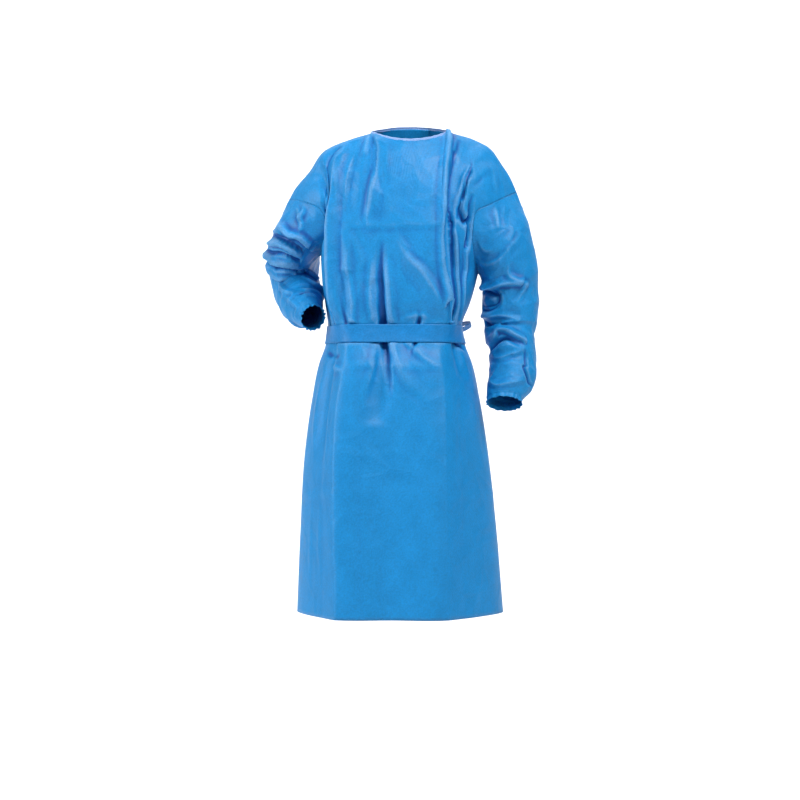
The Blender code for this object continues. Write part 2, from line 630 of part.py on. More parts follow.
def build_body_and_sleeves():
    """Front, both backs and both sleeves, parted by the seam gap."""
    front, front_normal, back, back_normal = body_panels()
    front_shift = np.zeros_like(front)
    back_shift = np.zeros_like(back)
    low = slice(0, UNDERARM_ROW + 1)
    for f, f_next, b, b_next in ((0, 1, -1, -2), (-1, -2, 0, 1)):
        shift = seam_shift(front[low, f_next] - front[low, f], back[low, b_next] - back[low, b])
        front_shift[low, f] += shift
        back_shift[low, b] -= shift
        shared = unit(front_normal[low, f] + back_normal[low, b])
        front_normal[low, f] = shared
        back_normal[low, b] = shared
    right_count = RIGHT_NECK_COLUMN + 1
    left_count = BACK_LEFT_NECK + 1
    for f, b in ((slice(0, right_count), slice(-1, -right_count - 1, -1)),
                 (slice(-1, -left_count - 1, -1), slice(0, left_count))):
        shift = seam_shift(front[-2, f] - front[-1, f], back[-2, b] - back[-1, b])
        front_shift[-1, f] += shift
        back_shift[-1, b] -= shift
        shared = unit(front_normal[-1, f] + back_normal[-1, b])
        front_normal[-1, f] = shared
        back_normal[-1, b] = shared
    sleeves = {}
    for side, table, folds in (("right", RIGHT_SLEEVE, RIGHT_SLEEVE_FOLDS),
                               ("left", LEFT_SLEEVE, LEFT_SLEEVE_FOLDS)):
        edge = 0 if side == "right" else -1
        back_edge = -1 if side == "right" else 0
        up = slice(UNDERARM_ROW, None)
        loop, into = armhole(front, back, side)
        panel_normal = np.concatenate((front_normal[up, edge], back_normal[up, back_edge][-2::-1]))
        points = sleeve_points(table, folds, loop, -into, panel_normal)
        points[:, -1] = points[:, 0]
        if side == "left":
            points_for_normals = points[:, ::-1]
        else:
            points_for_normals = points
        normals = grid_normals(points_for_normals, closed=True)
        if side == "left":
            normals = normals[:, ::-1]
        if np.mean(np.sum(normals[8] * (points[8] - points[8].mean(axis=0)), axis=1)) < 0:
            normals = -normals
        into_panel = square_to(loop, panel_normal, into)
        into_sleeve = square_to(loop, normals[0], points[1] - points[0])
        convex = np.sum(into_sleeve * panel_normal, axis=1) < 0.0
        apart = (panel_normal - normals[0]) * np.where(convex, 1.0, -1.0)[:, None]
        shift = unit(into_panel - into_sleeve + apart) * SEAM_GAP / 2
        split = ARMHOLE_ROWS + 1
        front_shift[up, edge] += shift[:split]
        back_shift[up, back_edge] += shift[:split - 2:-1]
        shared = unit(panel_normal + normals[0])
        normals[0] = np.where(convex[:, None], shared, normals[0])
        panel_normal = np.where(convex[:, None], shared, panel_normal)
        front_normal[up, edge] = panel_normal[:split]
        back_normal[up, back_edge] = panel_normal[:split - 2:-1]
        points[0] -= shift
        points[0, -1] = points[0, 0]
        normals[0, -1] = normals[0, 0]
        sleeves[side] = (points, normals)
    front = front + front_shift
    back = back + back_shift
    build_binding(front, front_normal, back, back_normal)
    wall("front", front, -front_normal * WALL, CLOTH_BLUE)
    left_back = back[:, :LEFT_BACK_EDGE + 1]
    left_normal = back_normal[:, :LEFT_BACK_EDGE + 1]
    rise = lap_rise(np.arange(LEFT_BACK_EDGE + 1))
    wall("back_left", left_back + left_normal * rise[None, :, None], -left_normal * WALL, CLOTH_BLUE)
    wall("back_right", back[:, RIGHT_BACK_EDGE:], -back_normal[:, RIGHT_BACK_EDGE:] * WALL, CLOTH_BLUE)
    for side, (points, normals) in sleeves.items():
        build_cuff(side, points)
        flat_end = unit(points[-1] - points[-1, :-1].mean(axis=0))
        normals[-1] = flat_end
        wall("sleeve_" + side, points, -normals * WALL, CLOTH_BLUE, closed=True)


def lap_rise(back_column):
    """How far the left back stands out where it laps over the right back."""
    start = RIGHT_BACK_EDGE - LAP_LEAD_COLUMNS
    return BACK_LAP_RISE * smoothstep((back_column - start) / LAP_RAMP_COLUMNS)


def build_cuff(side, sleeve):
    """Gathered end of a sleeve, a short waved tube past the sleeve's last ring."""
    last = sleeve[-1, :-1]
    centre = last.mean(axis=0)
    axis = unit(np.cross(last[5] - centre, last[0] - centre))
    if axis @ (centre - sleeve[-3, :-1].mean(axis=0)) < 0:
        axis = -axis
    count = CUFF_GATHERS * CUFF_POINTS_PER_GATHER
    place = np.linspace(0.0, len(last), count + 1)
    closed = np.concatenate((last[-2:], last, last[:3]))
    ring_points = smooth(np.arange(len(closed)) - 2.0, closed, place)
    radial = unit(ring_points - centre)
    wave = np.cos(2.0 * np.pi * CUFF_GATHERS * place / len(last))
    grid_points = []
    for i in range(CUFF_ROWS + 1):
        share = i / CUFF_ROWS
        inset = CUFF_END_INSET + CUFF_NARROWING * np.sin(np.pi * share)
        swell = CUFF_WAVE * (0.6 + 0.4 * np.cos(2.0 * np.pi * share))
        points = ring_points + (centre - ring_points) * inset
        points = points + radial * (wave * swell)[:, None]
        grid_points.append(points + axis * (SEAM_GAP + CUFF_LENGTH * share))
    points = np.array(grid_points)
    points[:, -1] = points[:, 0]
    thickness = np.repeat(-radial[None], CUFF_ROWS + 1, axis=0) * WALL
    wall("cuff_" + side, points, thickness, CLOTH_BLUE, closed=True)


def build_binding(front, front_normal, back, back_normal):
    """Narrow strip round the neck edge, open at the centre back."""
    front_part = slice(RIGHT_NECK_COLUMN, LEFT_NECK_COLUMN + 1)
    left_part = slice(BACK_LEFT_NECK + 1, LEFT_BACK_EDGE + 1)
    right_part = slice(LEFT_BACK_EDGE, BACK_RIGHT_NECK)
    normal = np.concatenate((back_normal[-1, right_part], front_normal[-1, front_part],
                             back_normal[-1, left_part]))
    edge = np.concatenate((back[-1, right_part], front[-1, front_part], back[-1, left_part]))
    left_columns = np.arange(BACK_LEFT_NECK + 1, LEFT_BACK_EDGE + 1)
    rise = np.zeros(len(edge))
    rise[-len(left_columns):] = lap_rise(left_columns)
    edge = edge + normal * rise[:, None]
    way = unit(np.cross(normal, np.gradient(edge, axis=0)))
    end_shift = np.zeros_like(edge)
    end_shift[0] = unit(edge[1] - edge[0]) * SEAM_GAP * BINDING_LAP_GAPS
    end_shift[-1] = unit(edge[-2] - edge[-1]) * SEAM_GAP * BINDING_LAP_GAPS / 2
    low_row = edge + way * SEAM_GAP * BINDING_GAPS + end_shift
    high_row = low_row + unit(way + np.array([0.0, 0.0, BINDING_RISE])) * BINDING_WIDTH
    points = np.array([low_row, high_row])
    thickness = np.array([-normal, -normal]) * BINDING_WALL
    wall("neck_binding", points, thickness, BINDING_BLUE)


def build_neck_tab():
    """Hook and loop strip on the outside of the left back at the neck."""
    columns = FRONT_COLUMNS + np.linspace(*TAB_COLUMNS, TAB_STEPS + 1)
    rows = np.linspace(*TAB_ROWS, TAB_STEPS)

    def outside(column, row):
        rise = lap_rise(column - FRONT_COLUMNS)
        return body(column, row, rise + TAB_STAND_OFF)

    points = grid(columns, rows, outside)
    wall("neck_tab", points, grid_normals(points) * WALL, TAB_BLUE)


def build_belt():
    """Belt's band round the waist, over every fold."""
    columns = np.arange(FRONT_COLUMNS + BACK_COLUMNS + 1, dtype=float)
    columns[FRONT_COLUMNS] += 1e-9
    rows = np.array([SKIRT_ROWS, BELT_TOP_ROW], dtype=float)

    def band(column, row):
        rise = lap_rise(column - FRONT_COLUMNS) * (column > FRONT_COLUMNS)
        past = smoothstep((column - FRONT_COLUMNS - LEFT_BACK_EDGE - 0.5) / LAP_RAMP_COLUMNS)
        return body(column, row, rise * (1.0 - past) + SEAM_GAP, folded=False)

    points = grid(columns, rows, band)
    points[:, -1] = points[:, 0]
    points[0, :, 2] += BELT_INSET
    points[1, :, 2] -= BELT_INSET
    outward = grid_normals(points, closed=True)
    wall("belt", points, outward * WALL, BELT_BLUE, closed=True)


def knot_place():
    """Middle of the knot, just outside the belt, and the way out of the back there."""
    column = np.array([KNOT_COLUMN])
    row = np.array([SKIRT_ROWS + 0.5])
    low, high = panel_limits(column)
    out = face_normal(body_base, column, row, low, high)[0]
    rise = KNOT_CLEARANCE + WALL + lap_rise(column - FRONT_COLUMNS)[0] + KNOT_SIZE[1] / 2
    return body(column, row, rise, folded=False)[0], out


def build_knot():
    """Belt's knot, a rounded lump of wound cloth."""
    centre, out = knot_place()
    side = unit(np.cross([0.0, 0.0, 1.0], out))
    up = np.cross(out, side)
    mesh = bmesh.new()
    bmesh.ops.create_cube(mesh, size=1.0)
    bmesh.ops.subdivide_edges(mesh, edges=mesh.edges, cuts=3, use_grid_fill=True)
    for vertex in mesh.verts:
        local = np.array(vertex.co)
        ball = unit(local) * 0.5
        mixed = local * KNOT_BOX_SHARE + ball * (1.0 - KNOT_BOX_SHARE)
        waist = 1.0 - KNOT_PINCH * np.exp(-(local[2] / KNOT_PINCH) ** 2)
        x = mixed[0] * KNOT_SIZE[0] * waist
        y = mixed[1] * KNOT_SIZE[1]
        z = mixed[2] * KNOT_SIZE[2]
        vertex.co = centre + side * x + out * y + up * z
    mesh.normal_update()
    bmesh.ops.recalc_face_normals(mesh, faces=mesh.faces)
    place_object("belt_knot", mesh, BELT_BLUE)


def build_loop(name, direction):
    """One loop of the bow: the belt runs out, turns and comes back."""
    centre, out = knot_place()
    side = unit(np.cross([0.0, 0.0, 1.0], out)) * direction
    start = centre + side * (KNOT_SIZE[0] / 2 + SEAM_GAP - LOOP_SEAT[name])
    t = np.linspace(0.0, 1.0, LOOP_STEPS + 1)
    angle = 2.0 * np.pi * t
    reach = LOOP_LENGTH * (1.0 - np.cos(angle)) / 2
    spread = LOOP_HEIGHT * np.sin(angle) * (0.35 + 0.65 * reach / LOOP_LENGTH) / 1.4
    spread = spread + LOOP_THROAT * np.cos(np.pi * t) * 0.25
    droop = LOOP_CLIMB[name] * (reach / LOOP_LENGTH) ** 1.5
    up = np.array([0.0, 0.0, 1.0])
    middle = start + np.outer(reach + 0.0006, side) + np.outer(spread * 0.45, out)
    middle = middle + np.outer(spread * 0.9 + droop + 0.002, up)
    width = LOOP_WIDTH * (0.35 + 0.65 * np.sin(np.pi * t) ** 0.6)
    tilt = unit(out * 0.9 - up * 0.45)
    near = middle - tilt * width[:, None] / 2
    far = middle + tilt * width[:, None] / 2
    lift = out * LOOP_STAND_OFF
    points = np.array([near + lift, far + lift])
    normals = grid_normals(points)
    wall(name, points, normals * WALL, BELT_BLUE)


def build_tail(name, first, last, drift, end_z, stand_off):
    """One free end of the belt, hanging on the back of the skirt."""
    levels = np.linspace(0.0, 1.0, TAIL_STEPS + 1)
    rows_z = (BELT_LOW_Z - 0.006) + (end_z - BELT_LOW_Z) * levels
    table_rows = np.linspace(0.0, SKIRT_ROWS, 100)
    table_z = row_height(np.full(100, 34.0), table_rows)
    points = []
    for share, z in zip(levels[::-1], rows_z[::-1]):
        row = np.interp(z, table_z, table_rows)
        columns = np.linspace(first, last, 4) + drift * share
        narrow = 0.55 + 0.45 * smoothstep(share * 4.0)
        middle = columns.mean()
        columns = middle + (columns - middle) * narrow
        rise = lap_rise(columns - FRONT_COLUMNS) + stand_off + 0.004 * share
        points.append(body(columns, np.full(4, row), rise, folded=False))
    points = np.array(points)
    wall(name, points, grid_normals(points) * WALL, BELT_BLUE)


def main():
    """Build the gown from its hem up."""
    for thing in list(bpy.data.objects):
        bpy.data.objects.remove(thing)
    build_body_and_sleeves()
    build_neck_tab()
    build_belt()
    build_knot()
    build_loop("belt_loop_left", -1.0)
    build_loop("belt_loop_right", 1.0)
    for tail in TAILS:
        build_tail(*tail)


main()
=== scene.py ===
"""Looks of the disposable gown round its packed form, in metres, +Z up.

+X is the gown's left as worn and -Y is its front. Every piece of cloth is a thin shell on its
solid's form. Columns run round the body from the right side seam over the front to the left
side seam and round the back. Rows run from the hem up to the shoulder seams and the neck.
"""
import bmesh
import bpy
import numpy as np
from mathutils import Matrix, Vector, noise


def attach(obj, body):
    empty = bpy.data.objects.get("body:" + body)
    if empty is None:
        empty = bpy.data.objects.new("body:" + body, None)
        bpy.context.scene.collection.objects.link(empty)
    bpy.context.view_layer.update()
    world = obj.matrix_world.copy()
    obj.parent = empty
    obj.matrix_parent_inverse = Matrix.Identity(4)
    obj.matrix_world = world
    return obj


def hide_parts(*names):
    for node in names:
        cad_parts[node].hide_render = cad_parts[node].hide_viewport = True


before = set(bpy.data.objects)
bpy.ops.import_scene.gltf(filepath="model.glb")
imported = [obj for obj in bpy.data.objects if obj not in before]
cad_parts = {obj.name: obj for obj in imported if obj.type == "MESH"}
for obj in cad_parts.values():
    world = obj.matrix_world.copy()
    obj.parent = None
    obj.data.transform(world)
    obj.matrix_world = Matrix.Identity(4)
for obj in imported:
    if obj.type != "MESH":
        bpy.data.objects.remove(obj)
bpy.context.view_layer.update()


# Front panel: one piece of blue three-layer nonwoven, cut with the neck scooped out.
# It is sewn to the backs along the sides and shoulders and to the sleeves at the armholes,
# and it was pressed flat in its pack, so it keeps two upright creases and three level ones.
HEM_Z = -1.157
BELT_LOW_Z = -0.514
BELT_TOP_Z = -0.470
RIGHT_UNDERARM_Z = -0.300
LEFT_UNDERARM_Z = -0.345
FRONT_COLUMNS = 28
BACK_COLUMNS = 26
AROUND = FRONT_COLUMNS + BACK_COLUMNS
RIGHT_NECK_COLUMN = 12
LEFT_NECK_COLUMN = 20
BACK_LEFT_NECK = 8
BACK_RIGHT_NECK = 14
SKIRT_ROWS = 11
BELT_TOP_ROW = 12
UNDERARM_ROW = 17
ARMHOLE_ROWS = 10
TOP_ROW = UNDERARM_ROW + ARMHOLE_ROWS
SKIRT_ROW_GRADING = 1.35
BACK_START = FRONT_COLUMNS + 1e-9
SECTIONS = (
    # z, right_side, right_crease, left_crease, left_side, front_right, front_left, back
    (-1.157, -0.272, -0.167, 0.084, 0.223, -0.165, -0.172, 0.175),
    (-0.958, -0.264, -0.172, 0.083, 0.207, -0.155, -0.162, 0.165),
    (-0.780, -0.254, -0.168, 0.082, 0.188, -0.146, -0.152, 0.153),
    (-0.640, -0.235, -0.159, 0.073, 0.166, -0.136, -0.142, 0.140),
    (-0.560, -0.219, -0.149, 0.070, 0.149, -0.126, -0.130, 0.122),
    (-0.514, -0.203, -0.149, 0.074, 0.132, -0.110, -0.112, 0.104),
    (-0.470, -0.197, -0.160, 0.088, 0.124, -0.106, -0.110, 0.100),
    (-0.418, -0.202, -0.176, 0.094, 0.143, -0.110, -0.124, 0.110),
    (-0.345, -0.211, -0.184, 0.080, 0.163, -0.104, -0.134, 0.124),
    (-0.290, -0.213, -0.184, 0.076, 0.172, -0.102, -0.138, 0.128),
)
RIGHT_SIDE_Y = 0.020
LEFT_SIDE_Y = 0.000
FLANK_BULGE = 0.07
FRONT_BULGE = 0.007
BACK_SQUARENESS = 0.82

RIGHT_SHOULDER = (
    # x, y, z
    (-0.093, -0.012, -0.010),
    (-0.154, -0.014, -0.029),
    (-0.212, -0.012, -0.058),
    (-0.240, -0.006, -0.099),
    (-0.278, 0.004, -0.144),
    (-0.290, 0.010, -0.165),
)
LEFT_SHOULDER = (
    # x, y, z
    (0.091, -0.012, -0.006),
    (0.155, -0.015, -0.026),
    (0.190, -0.014, -0.046),
    (0.220, -0.010, -0.085),
    (0.252, -0.002, -0.140),
    (0.256, 0.000, -0.150),
)

# Neck line
NECK_X = -0.001
NECK_HALF_WIDTH = 0.092
NECK_SEAM_Y = -0.012
NECK_SEAM_Z = -0.008
NECK_FRONT_REACH = 0.080
NECK_FRONT_DROP = 0.030
NECK_BACK_REACH = 0.072
NECK_BACK_RISE = 0.018
NECK_FRONT_SLOPE = 0.86
NECK_BACK_SLOPE = 0.93

# Armholes, from the underarm up to the shoulder seam
RIGHT_ARMHOLE_FRONT = (
    # x, y, z
    (-0.2127, 0.020, -0.300),
    (-0.199, -0.040, -0.268),
    (-0.197, -0.075, -0.225),
    (-0.213, -0.080, -0.197),
    (-0.240, -0.062, -0.183),
    (-0.268, -0.030, -0.172),
    (-0.290, 0.010, -0.165),
)
RIGHT_ARMHOLE_BACK = (
    # x, y, z
    (-0.2127, 0.020, -0.300),
    (-0.205, 0.060, -0.286),
    (-0.212, 0.092, -0.250),
    (-0.232, 0.099, -0.208),
    (-0.256, 0.080, -0.182),
    (-0.278, 0.046, -0.170),
    (-0.290, 0.010, -0.165),
)
LEFT_ARMHOLE_FRONT = (
    # x, y, z
    (0.163, 0.000, -0.345),
    (0.152, -0.055, -0.307),
    (0.147, -0.090, -0.250),
    (0.157, -0.098, -0.204),
    (0.183, -0.086, -0.190),
    (0.219, -0.054, -0.170),
    (0.256, 0.000, -0.150),
)
LEFT_ARMHOLE_BACK = (
    # x, y, z
    (0.163, 0.000, -0.345),
    (0.160, 0.055, -0.315),
    (0.166, 0.095, -0.255),
    (0.185, 0.101, -0.206),
    (0.213, 0.080, -0.176),
    (0.240, 0.042, -0.158),
    (0.256, 0.000, -0.150),
)
ARMHOLE_REACH_COLUMNS = 9
CHEST_LIFT = 1.45
CHEST_TURN = 1.75
CHEST_WALL_SHARE = 0.6
LEAST_CHEST_TURN = 0.08

# Largest folds of the body, as soft troughs between two grid places
BODY_FOLDS = (
    # from_column, from_row, to_column, to_row, half_width, depth
    (9.2, 11.5, 9.8, 16.0, 1.5, 0.010),
    (12.6, 11.5, 12.4, 15.5, 1.4, 0.008),
    (20.9, 11.5, 20.9, 20.0, 1.5, 0.012),
    (12.5, 6.5, 12.5, 11.5, 1.6, 0.010),
    (24.2, 8.5, 23.2, 11.5, 1.6, 0.009),
    (5.0, 5.0, 4.5, 11.5, 1.7, 0.010),
    (22.6, 26.5, 21.7, 19.5, 1.5, 0.013),
    (24.4, 26.5, 23.0, 21.0, 1.3, 0.008),
    (13.2, 26.0, 13.4, 21.0, 1.4, 0.007),
    (10.2, 25.5, 9.9, 19.0, 1.4, 0.008),
    (4.6, 25.5, 3.8, 20.0, 1.5, 0.010),
    (2.4, 12.5, 2.8, 17.5, 1.3, 0.007),
    (34.0, 6.0, 34.5, 11.5, 1.6, 0.012),
    (37.5, 11.5, 37.0, 18.0, 1.5, 0.011),
    (44.5, 5.0, 44.0, 11.5, 1.7, 0.012),
    (45.5, 11.5, 46.5, 19.0, 1.5, 0.012),
    (49.6, 7.0, 49.2, 11.5, 1.5, 0.009),
    (33.5, 18.0, 32.5, 24.5, 1.4, 0.010),
    (49.0, 19.0, 50.5, 25.0, 1.4, 0.010),
    (31.0, -2.0, 31.6, 4.5, 1.8, 0.014),
)


def unit(vectors):
    """Vectors brought to length one."""
    return vectors / np.linalg.norm(vectors, axis=-1, keepdims=True)


def smoothstep(value):
    """Soft step from 0 to 1."""
    value = np.clip(value, 0.0, 1.0)
    return value * value * (3.0 - 2.0 * value)


def hermite(start, start_slope, end, end_slope, t):
    """Cubic from start to end with the given slopes."""
    a = 2.0 * t ** 3 - 3.0 * t ** 2 + 1.0
    b = t ** 3 - 2.0 * t ** 2 + t
    c = 3.0 * t ** 2 - 2.0 * t ** 3
    d = t ** 3 - t ** 2
    return a * start + b * start_slope + c * end + d * end_slope


def smooth(knots, values, at):
    """Smooth curve through a table's values, read at the given places."""
    knots = np.asarray(knots, dtype=float)
    values = np.asarray(values, dtype=float)
    slopes = np.gradient(values, knots, axis=0)
    index = np.clip(np.searchsorted(knots, at, side="right") - 1, 0, len(knots) - 2)
    span = knots[index + 1] - knots[index]
    t = (at - knots[index]) / span
    if values.ndim > 1:
        span = span[..., None]
        t = t[..., None]
    return hermite(values[index], slopes[index] * span, values[index + 1], slopes[index + 1] * span, t)


def along(points, fraction):
    """Place at a fraction of a line's length, on a smooth curve through its points."""
    points = np.asarray(points, dtype=float)
    steps = np.linalg.norm(np.diff(points, axis=0), axis=1)
    knots = np.concatenate(([0.0], np.cumsum(steps))) / steps.sum()
    return smooth(knots, points, fraction)


def section_controls(z):
    """Column numbers and places of the points that shape the body at each height."""
    table = np.array(SECTIONS)
    columns = [smooth(table[:, 0], table[:, i], z) for i in range(1, 8)]
    right, right_crease, left_crease, left, front_right, front_left, back = columns
    right_y = np.full_like(z, RIGHT_SIDE_Y)
    left_y = np.full_like(z, LEFT_SIDE_Y)

    def flank(side_x, side_y, crease_x, crease_y, outward):
        span_x = side_x - crease_x
        span_y = side_y - crease_y
        x = crease_x + span_x / 2 + outward * span_y * FLANK_BULGE
        y = crease_y + span_y / 2 - outward * span_x * FLANK_BULGE
        return x, y

    places = [
        (0, right, right_y),
        (4, *flank(right, right_y, right_crease, front_right, -1.0)),
        (8, right_crease, front_right),
        (14, (right_crease + left_crease) / 2, (front_right + front_left) / 2 - FRONT_BULGE),
        (20, left_crease, front_left),
        (24, *flank(left, left_y, left_crease, front_left, 1.0)),
        (28, left, left_y),
    ]
    middle = (right + left) / 2
    half = (left - right) / 2
    for column in (4, 9, 13, 17, 22):
        turn = np.pi * column / BACK_COLUMNS
        side_y = LEFT_SIDE_Y + (RIGHT_SIDE_Y - LEFT_SIDE_Y) * column / BACK_COLUMNS
        across = np.sign(np.cos(turn)) * abs(np.cos(turn)) ** BACK_SQUARENESS
        depth = np.sin(turn) ** BACK_SQUARENESS
        places.append((FRONT_COLUMNS + column, middle + half * across, side_y + (back - side_y) * depth))
    return places


def ring(column, z):
    """Body's outline below the underarms at the given columns and heights."""
    places = section_controls(z)
    numbers = np.array([p[0] for p in places], dtype=float)
    points = np.array([np.stack((p[1], p[2]), axis=-1) for p in places])
    numbers = np.concatenate((numbers[-2:] - AROUND, numbers, numbers[:2] + AROUND))
    points = np.concatenate((points[-2:], points, points[:2]))
    slopes = np.gradient(points, numbers, axis=0)
    place = np.mod(column, AROUND)
    index = np.clip(np.searchsorted(numbers, place, side="right") - 1, 0, len(numbers) - 2)
    each = np.arange(len(place))
    span = (numbers[index + 1] - numbers[index])[:, None]
    t = (place - numbers[index])[:, None] / span
    flat = hermite(points[index, each], slopes[index, each] * span,
                   points[index + 1, each], slopes[index + 1, each] * span, t)
    return np.column_stack((flat, z))


def underarm_height(column):
    """Height where the body's side ends, blended from the right underarm to the left one."""
    front = smoothstep(column / FRONT_COLUMNS)
    back = smoothstep((AROUND - column) / BACK_COLUMNS)
    share = np.where(column <= FRONT_COLUMNS, front, back)
    return RIGHT_UNDERARM_Z + (LEFT_UNDERARM_Z - RIGHT_UNDERARM_Z) * share


def row_height(column, row):
    """Height of a body row below the underarms."""
    skirt = 1.0 - (1.0 - np.clip(row / SKIRT_ROWS, 0.0, 1.0)) ** SKIRT_ROW_GRADING
    skirt_z = HEM_Z + (BELT_LOW_Z - HEM_Z) * skirt
    belt_z = BELT_LOW_Z + (BELT_TOP_Z - BELT_LOW_Z) * (row - SKIRT_ROWS)
    rise = (row - BELT_TOP_ROW) / (UNDERARM_ROW - BELT_TOP_ROW)
    upper_z = BELT_TOP_Z + (underarm_height(column) - BELT_TOP_Z) * rise
    return np.where(row <= SKIRT_ROWS, skirt_z, np.where(row <= BELT_TOP_ROW, belt_z, upper_z))


def neck(turn, back):
    """Neck line: turn runs from 0 at the left shoulder seam to 1 at the right one."""
    angle = np.pi * turn
    reach = np.where(back, NECK_BACK_REACH, -NECK_FRONT_REACH)
    lift = np.where(back, NECK_BACK_RISE, -NECK_FRONT_DROP)
    x = NECK_X + NECK_HALF_WIDTH * np.cos(angle)
    y = NECK_SEAM_Y + reach * np.sin(angle)
    z = NECK_SEAM_Z + lift * np.sin(angle) ** 1.5
    return np.stack((x, y, z), axis=-1)


def top_edge(column):
    """Top of each body column, on a shoulder seam or the neck line, and its slope there."""
    back = column > FRONT_COLUMNS
    seam = np.where(back, AROUND - column, column)
    from_left = np.where(back, column - FRONT_COLUMNS, FRONT_COLUMNS - column)
    left_end = np.where(back, BACK_LEFT_NECK, FRONT_COLUMNS - LEFT_NECK_COLUMN)
    right_end = np.where(back, BACK_COLUMNS - BACK_RIGHT_NECK, RIGHT_NECK_COLUMN)
    right = along(RIGHT_SHOULDER, np.clip(1.0 - seam / right_end, 0.0, 1.0))
    left = along(LEFT_SHOULDER, np.clip(1.0 - from_left / left_end, 0.0, 1.0))
    total = np.where(back, BACK_COLUMNS, FRONT_COLUMNS)
    turn = np.clip((from_left - left_end) / (total - left_end - right_end), 0.0, 1.0)
    place = np.where((turn <= 0.0)[:, None], left, np.where((turn >= 1.0)[:, None], right, neck(turn, back)))
    climb = np.sin(np.pi * turn) ** 0.7 * np.where(back, NECK_BACK_SLOPE, NECK_FRONT_SLOPE)
    inward = np.sqrt(1.0 - climb ** 2) * np.where(back, -1.0, 1.0)
    return place, np.stack((np.zeros_like(climb), inward, climb), axis=-1)


def chest_column(column, share):
    """Body above the underarms before it is fitted to the armholes."""
    z = underarm_height(column)
    start = ring(column, z)
    below = ring(column, z - 0.01)
    end, end_way = top_edge(column)
    start_way = unit(start - below)
    height = (end[:, 2] - start[:, 2])[:, None]
    reach = np.linalg.norm(end - start, axis=1)[:, None] - CHEST_WALL_SHARE * height
    turn = np.maximum(reach, LEAST_CHEST_TURN)
    return hermite(start, start_way * height * CHEST_LIFT, end, end_way * turn * CHEST_TURN, share[:, None])


def body_base(column, row):
    """Body's outer face without folds, at any column and row."""
    column = np.asarray(column, dtype=float)
    row = np.asarray(row, dtype=float)
    low = ring(column, row_height(column, np.minimum(row, UNDERARM_ROW)))
    share = np.clip((row - UNDERARM_ROW) / ARMHOLE_ROWS, 0.0, 1.0)
    high = chest_column(column, share)
    back = column > FRONT_COLUMNS
    sides = (
        # column of the front's edge, column of the back's edge, front line, back line
        (0.0, AROUND, RIGHT_ARMHOLE_FRONT, RIGHT_ARMHOLE_BACK),
        (FRONT_COLUMNS, BACK_START, LEFT_ARMHOLE_FRONT, LEFT_ARMHOLE_BACK),
    )
    for edge_front, edge_back, front_line, back_line in sides:
        edge = np.where(back, edge_back, edge_front)
        line = np.where(back[:, None], along(back_line, share), along(front_line, share))
        near = 1.0 - smoothstep(abs(column - edge) / ARMHOLE_REACH_COLUMNS)
        high = high + near[:, None] * (line - chest_column(edge, share))
    return np.where((row > UNDERARM_ROW)[:, None], high, low)


def face_normal(surface, column, row, low_column, high_column):
    """Outward direction of a surface given as a function of column and row."""
    step = 0.02
    ahead = surface(np.minimum(column + step, high_column), row)
    behind = surface(np.maximum(column - step, low_column), row)
    above = surface(column, np.minimum(row + step, TOP_ROW))
    below = surface(column, np.maximum(row - step, 0.0))
    return unit(np.cross(ahead - behind, above - below))


def panel_limits(column):
    """Columns where the front or the back ends on either side of a column."""
    back = column > FRONT_COLUMNS
    low = np.where(back, BACK_START, 0.0)
    high = np.where(back, AROUND, FRONT_COLUMNS)
    return low, high


def fold_depth(column, row):
    """How far the cloth is drawn in by the folds."""
    depth = np.zeros_like(column)
    for from_column, from_row, to_column, to_row, half_width, deep in BODY_FOLDS:
        share = (row - from_row) / (to_row - from_row)
        centre = from_column + (to_column - from_column) * share
        across = np.clip(1.0 - ((column - centre) / half_width) ** 2, 0.0, 1.0) ** 2
        length = np.clip(1.0 - (2.0 * share - 1.0) ** 4, 0.0, 1.0)
        depth = depth + deep * across * length
    return depth


def body(column, row, rise=0.0, folded=True):
    """Body's outer face, lifted outward by rise."""
    column = np.asarray(column, dtype=float)
    row = np.asarray(row, dtype=float)
    low, high = panel_limits(column)
    normal = face_normal(body_base, column, row, low, high)
    depth = fold_depth(column, row) if folded else 0.0
    return body_base(column, row) + normal * np.reshape(rise - depth, (-1, 1))


def grid_of(columns, rows, place):
    """Points of a panel as rows of columns."""
    column, row = np.meshgrid(columns, rows)
    return place(column.ravel(), row.ravel()).reshape(*column.shape, 3)


def outward(points, closed=False):
    """Outward directions at a grid's points, from its own faces."""
    if closed:
        ring_points = np.concatenate((points[:, -2:-1], points, points[:, 1:2]), axis=1)
        across = ring_points[:, 2:] - ring_points[:, :-2]
    else:
        across = np.gradient(points, axis=1)
    return unit(np.cross(across, np.gradient(points, axis=0)))


CREST_ROUNDING = 0.0013
SMALL_CREASE = 2.5
FOOT_WIDTHS = 1.55
FLANK_HOLLOW = 0.5
CREASE_STEPS = 60
CREASE_REACH_WIDTHS = 3.5
LEAST_FACING = -0.3
MM = 0.001


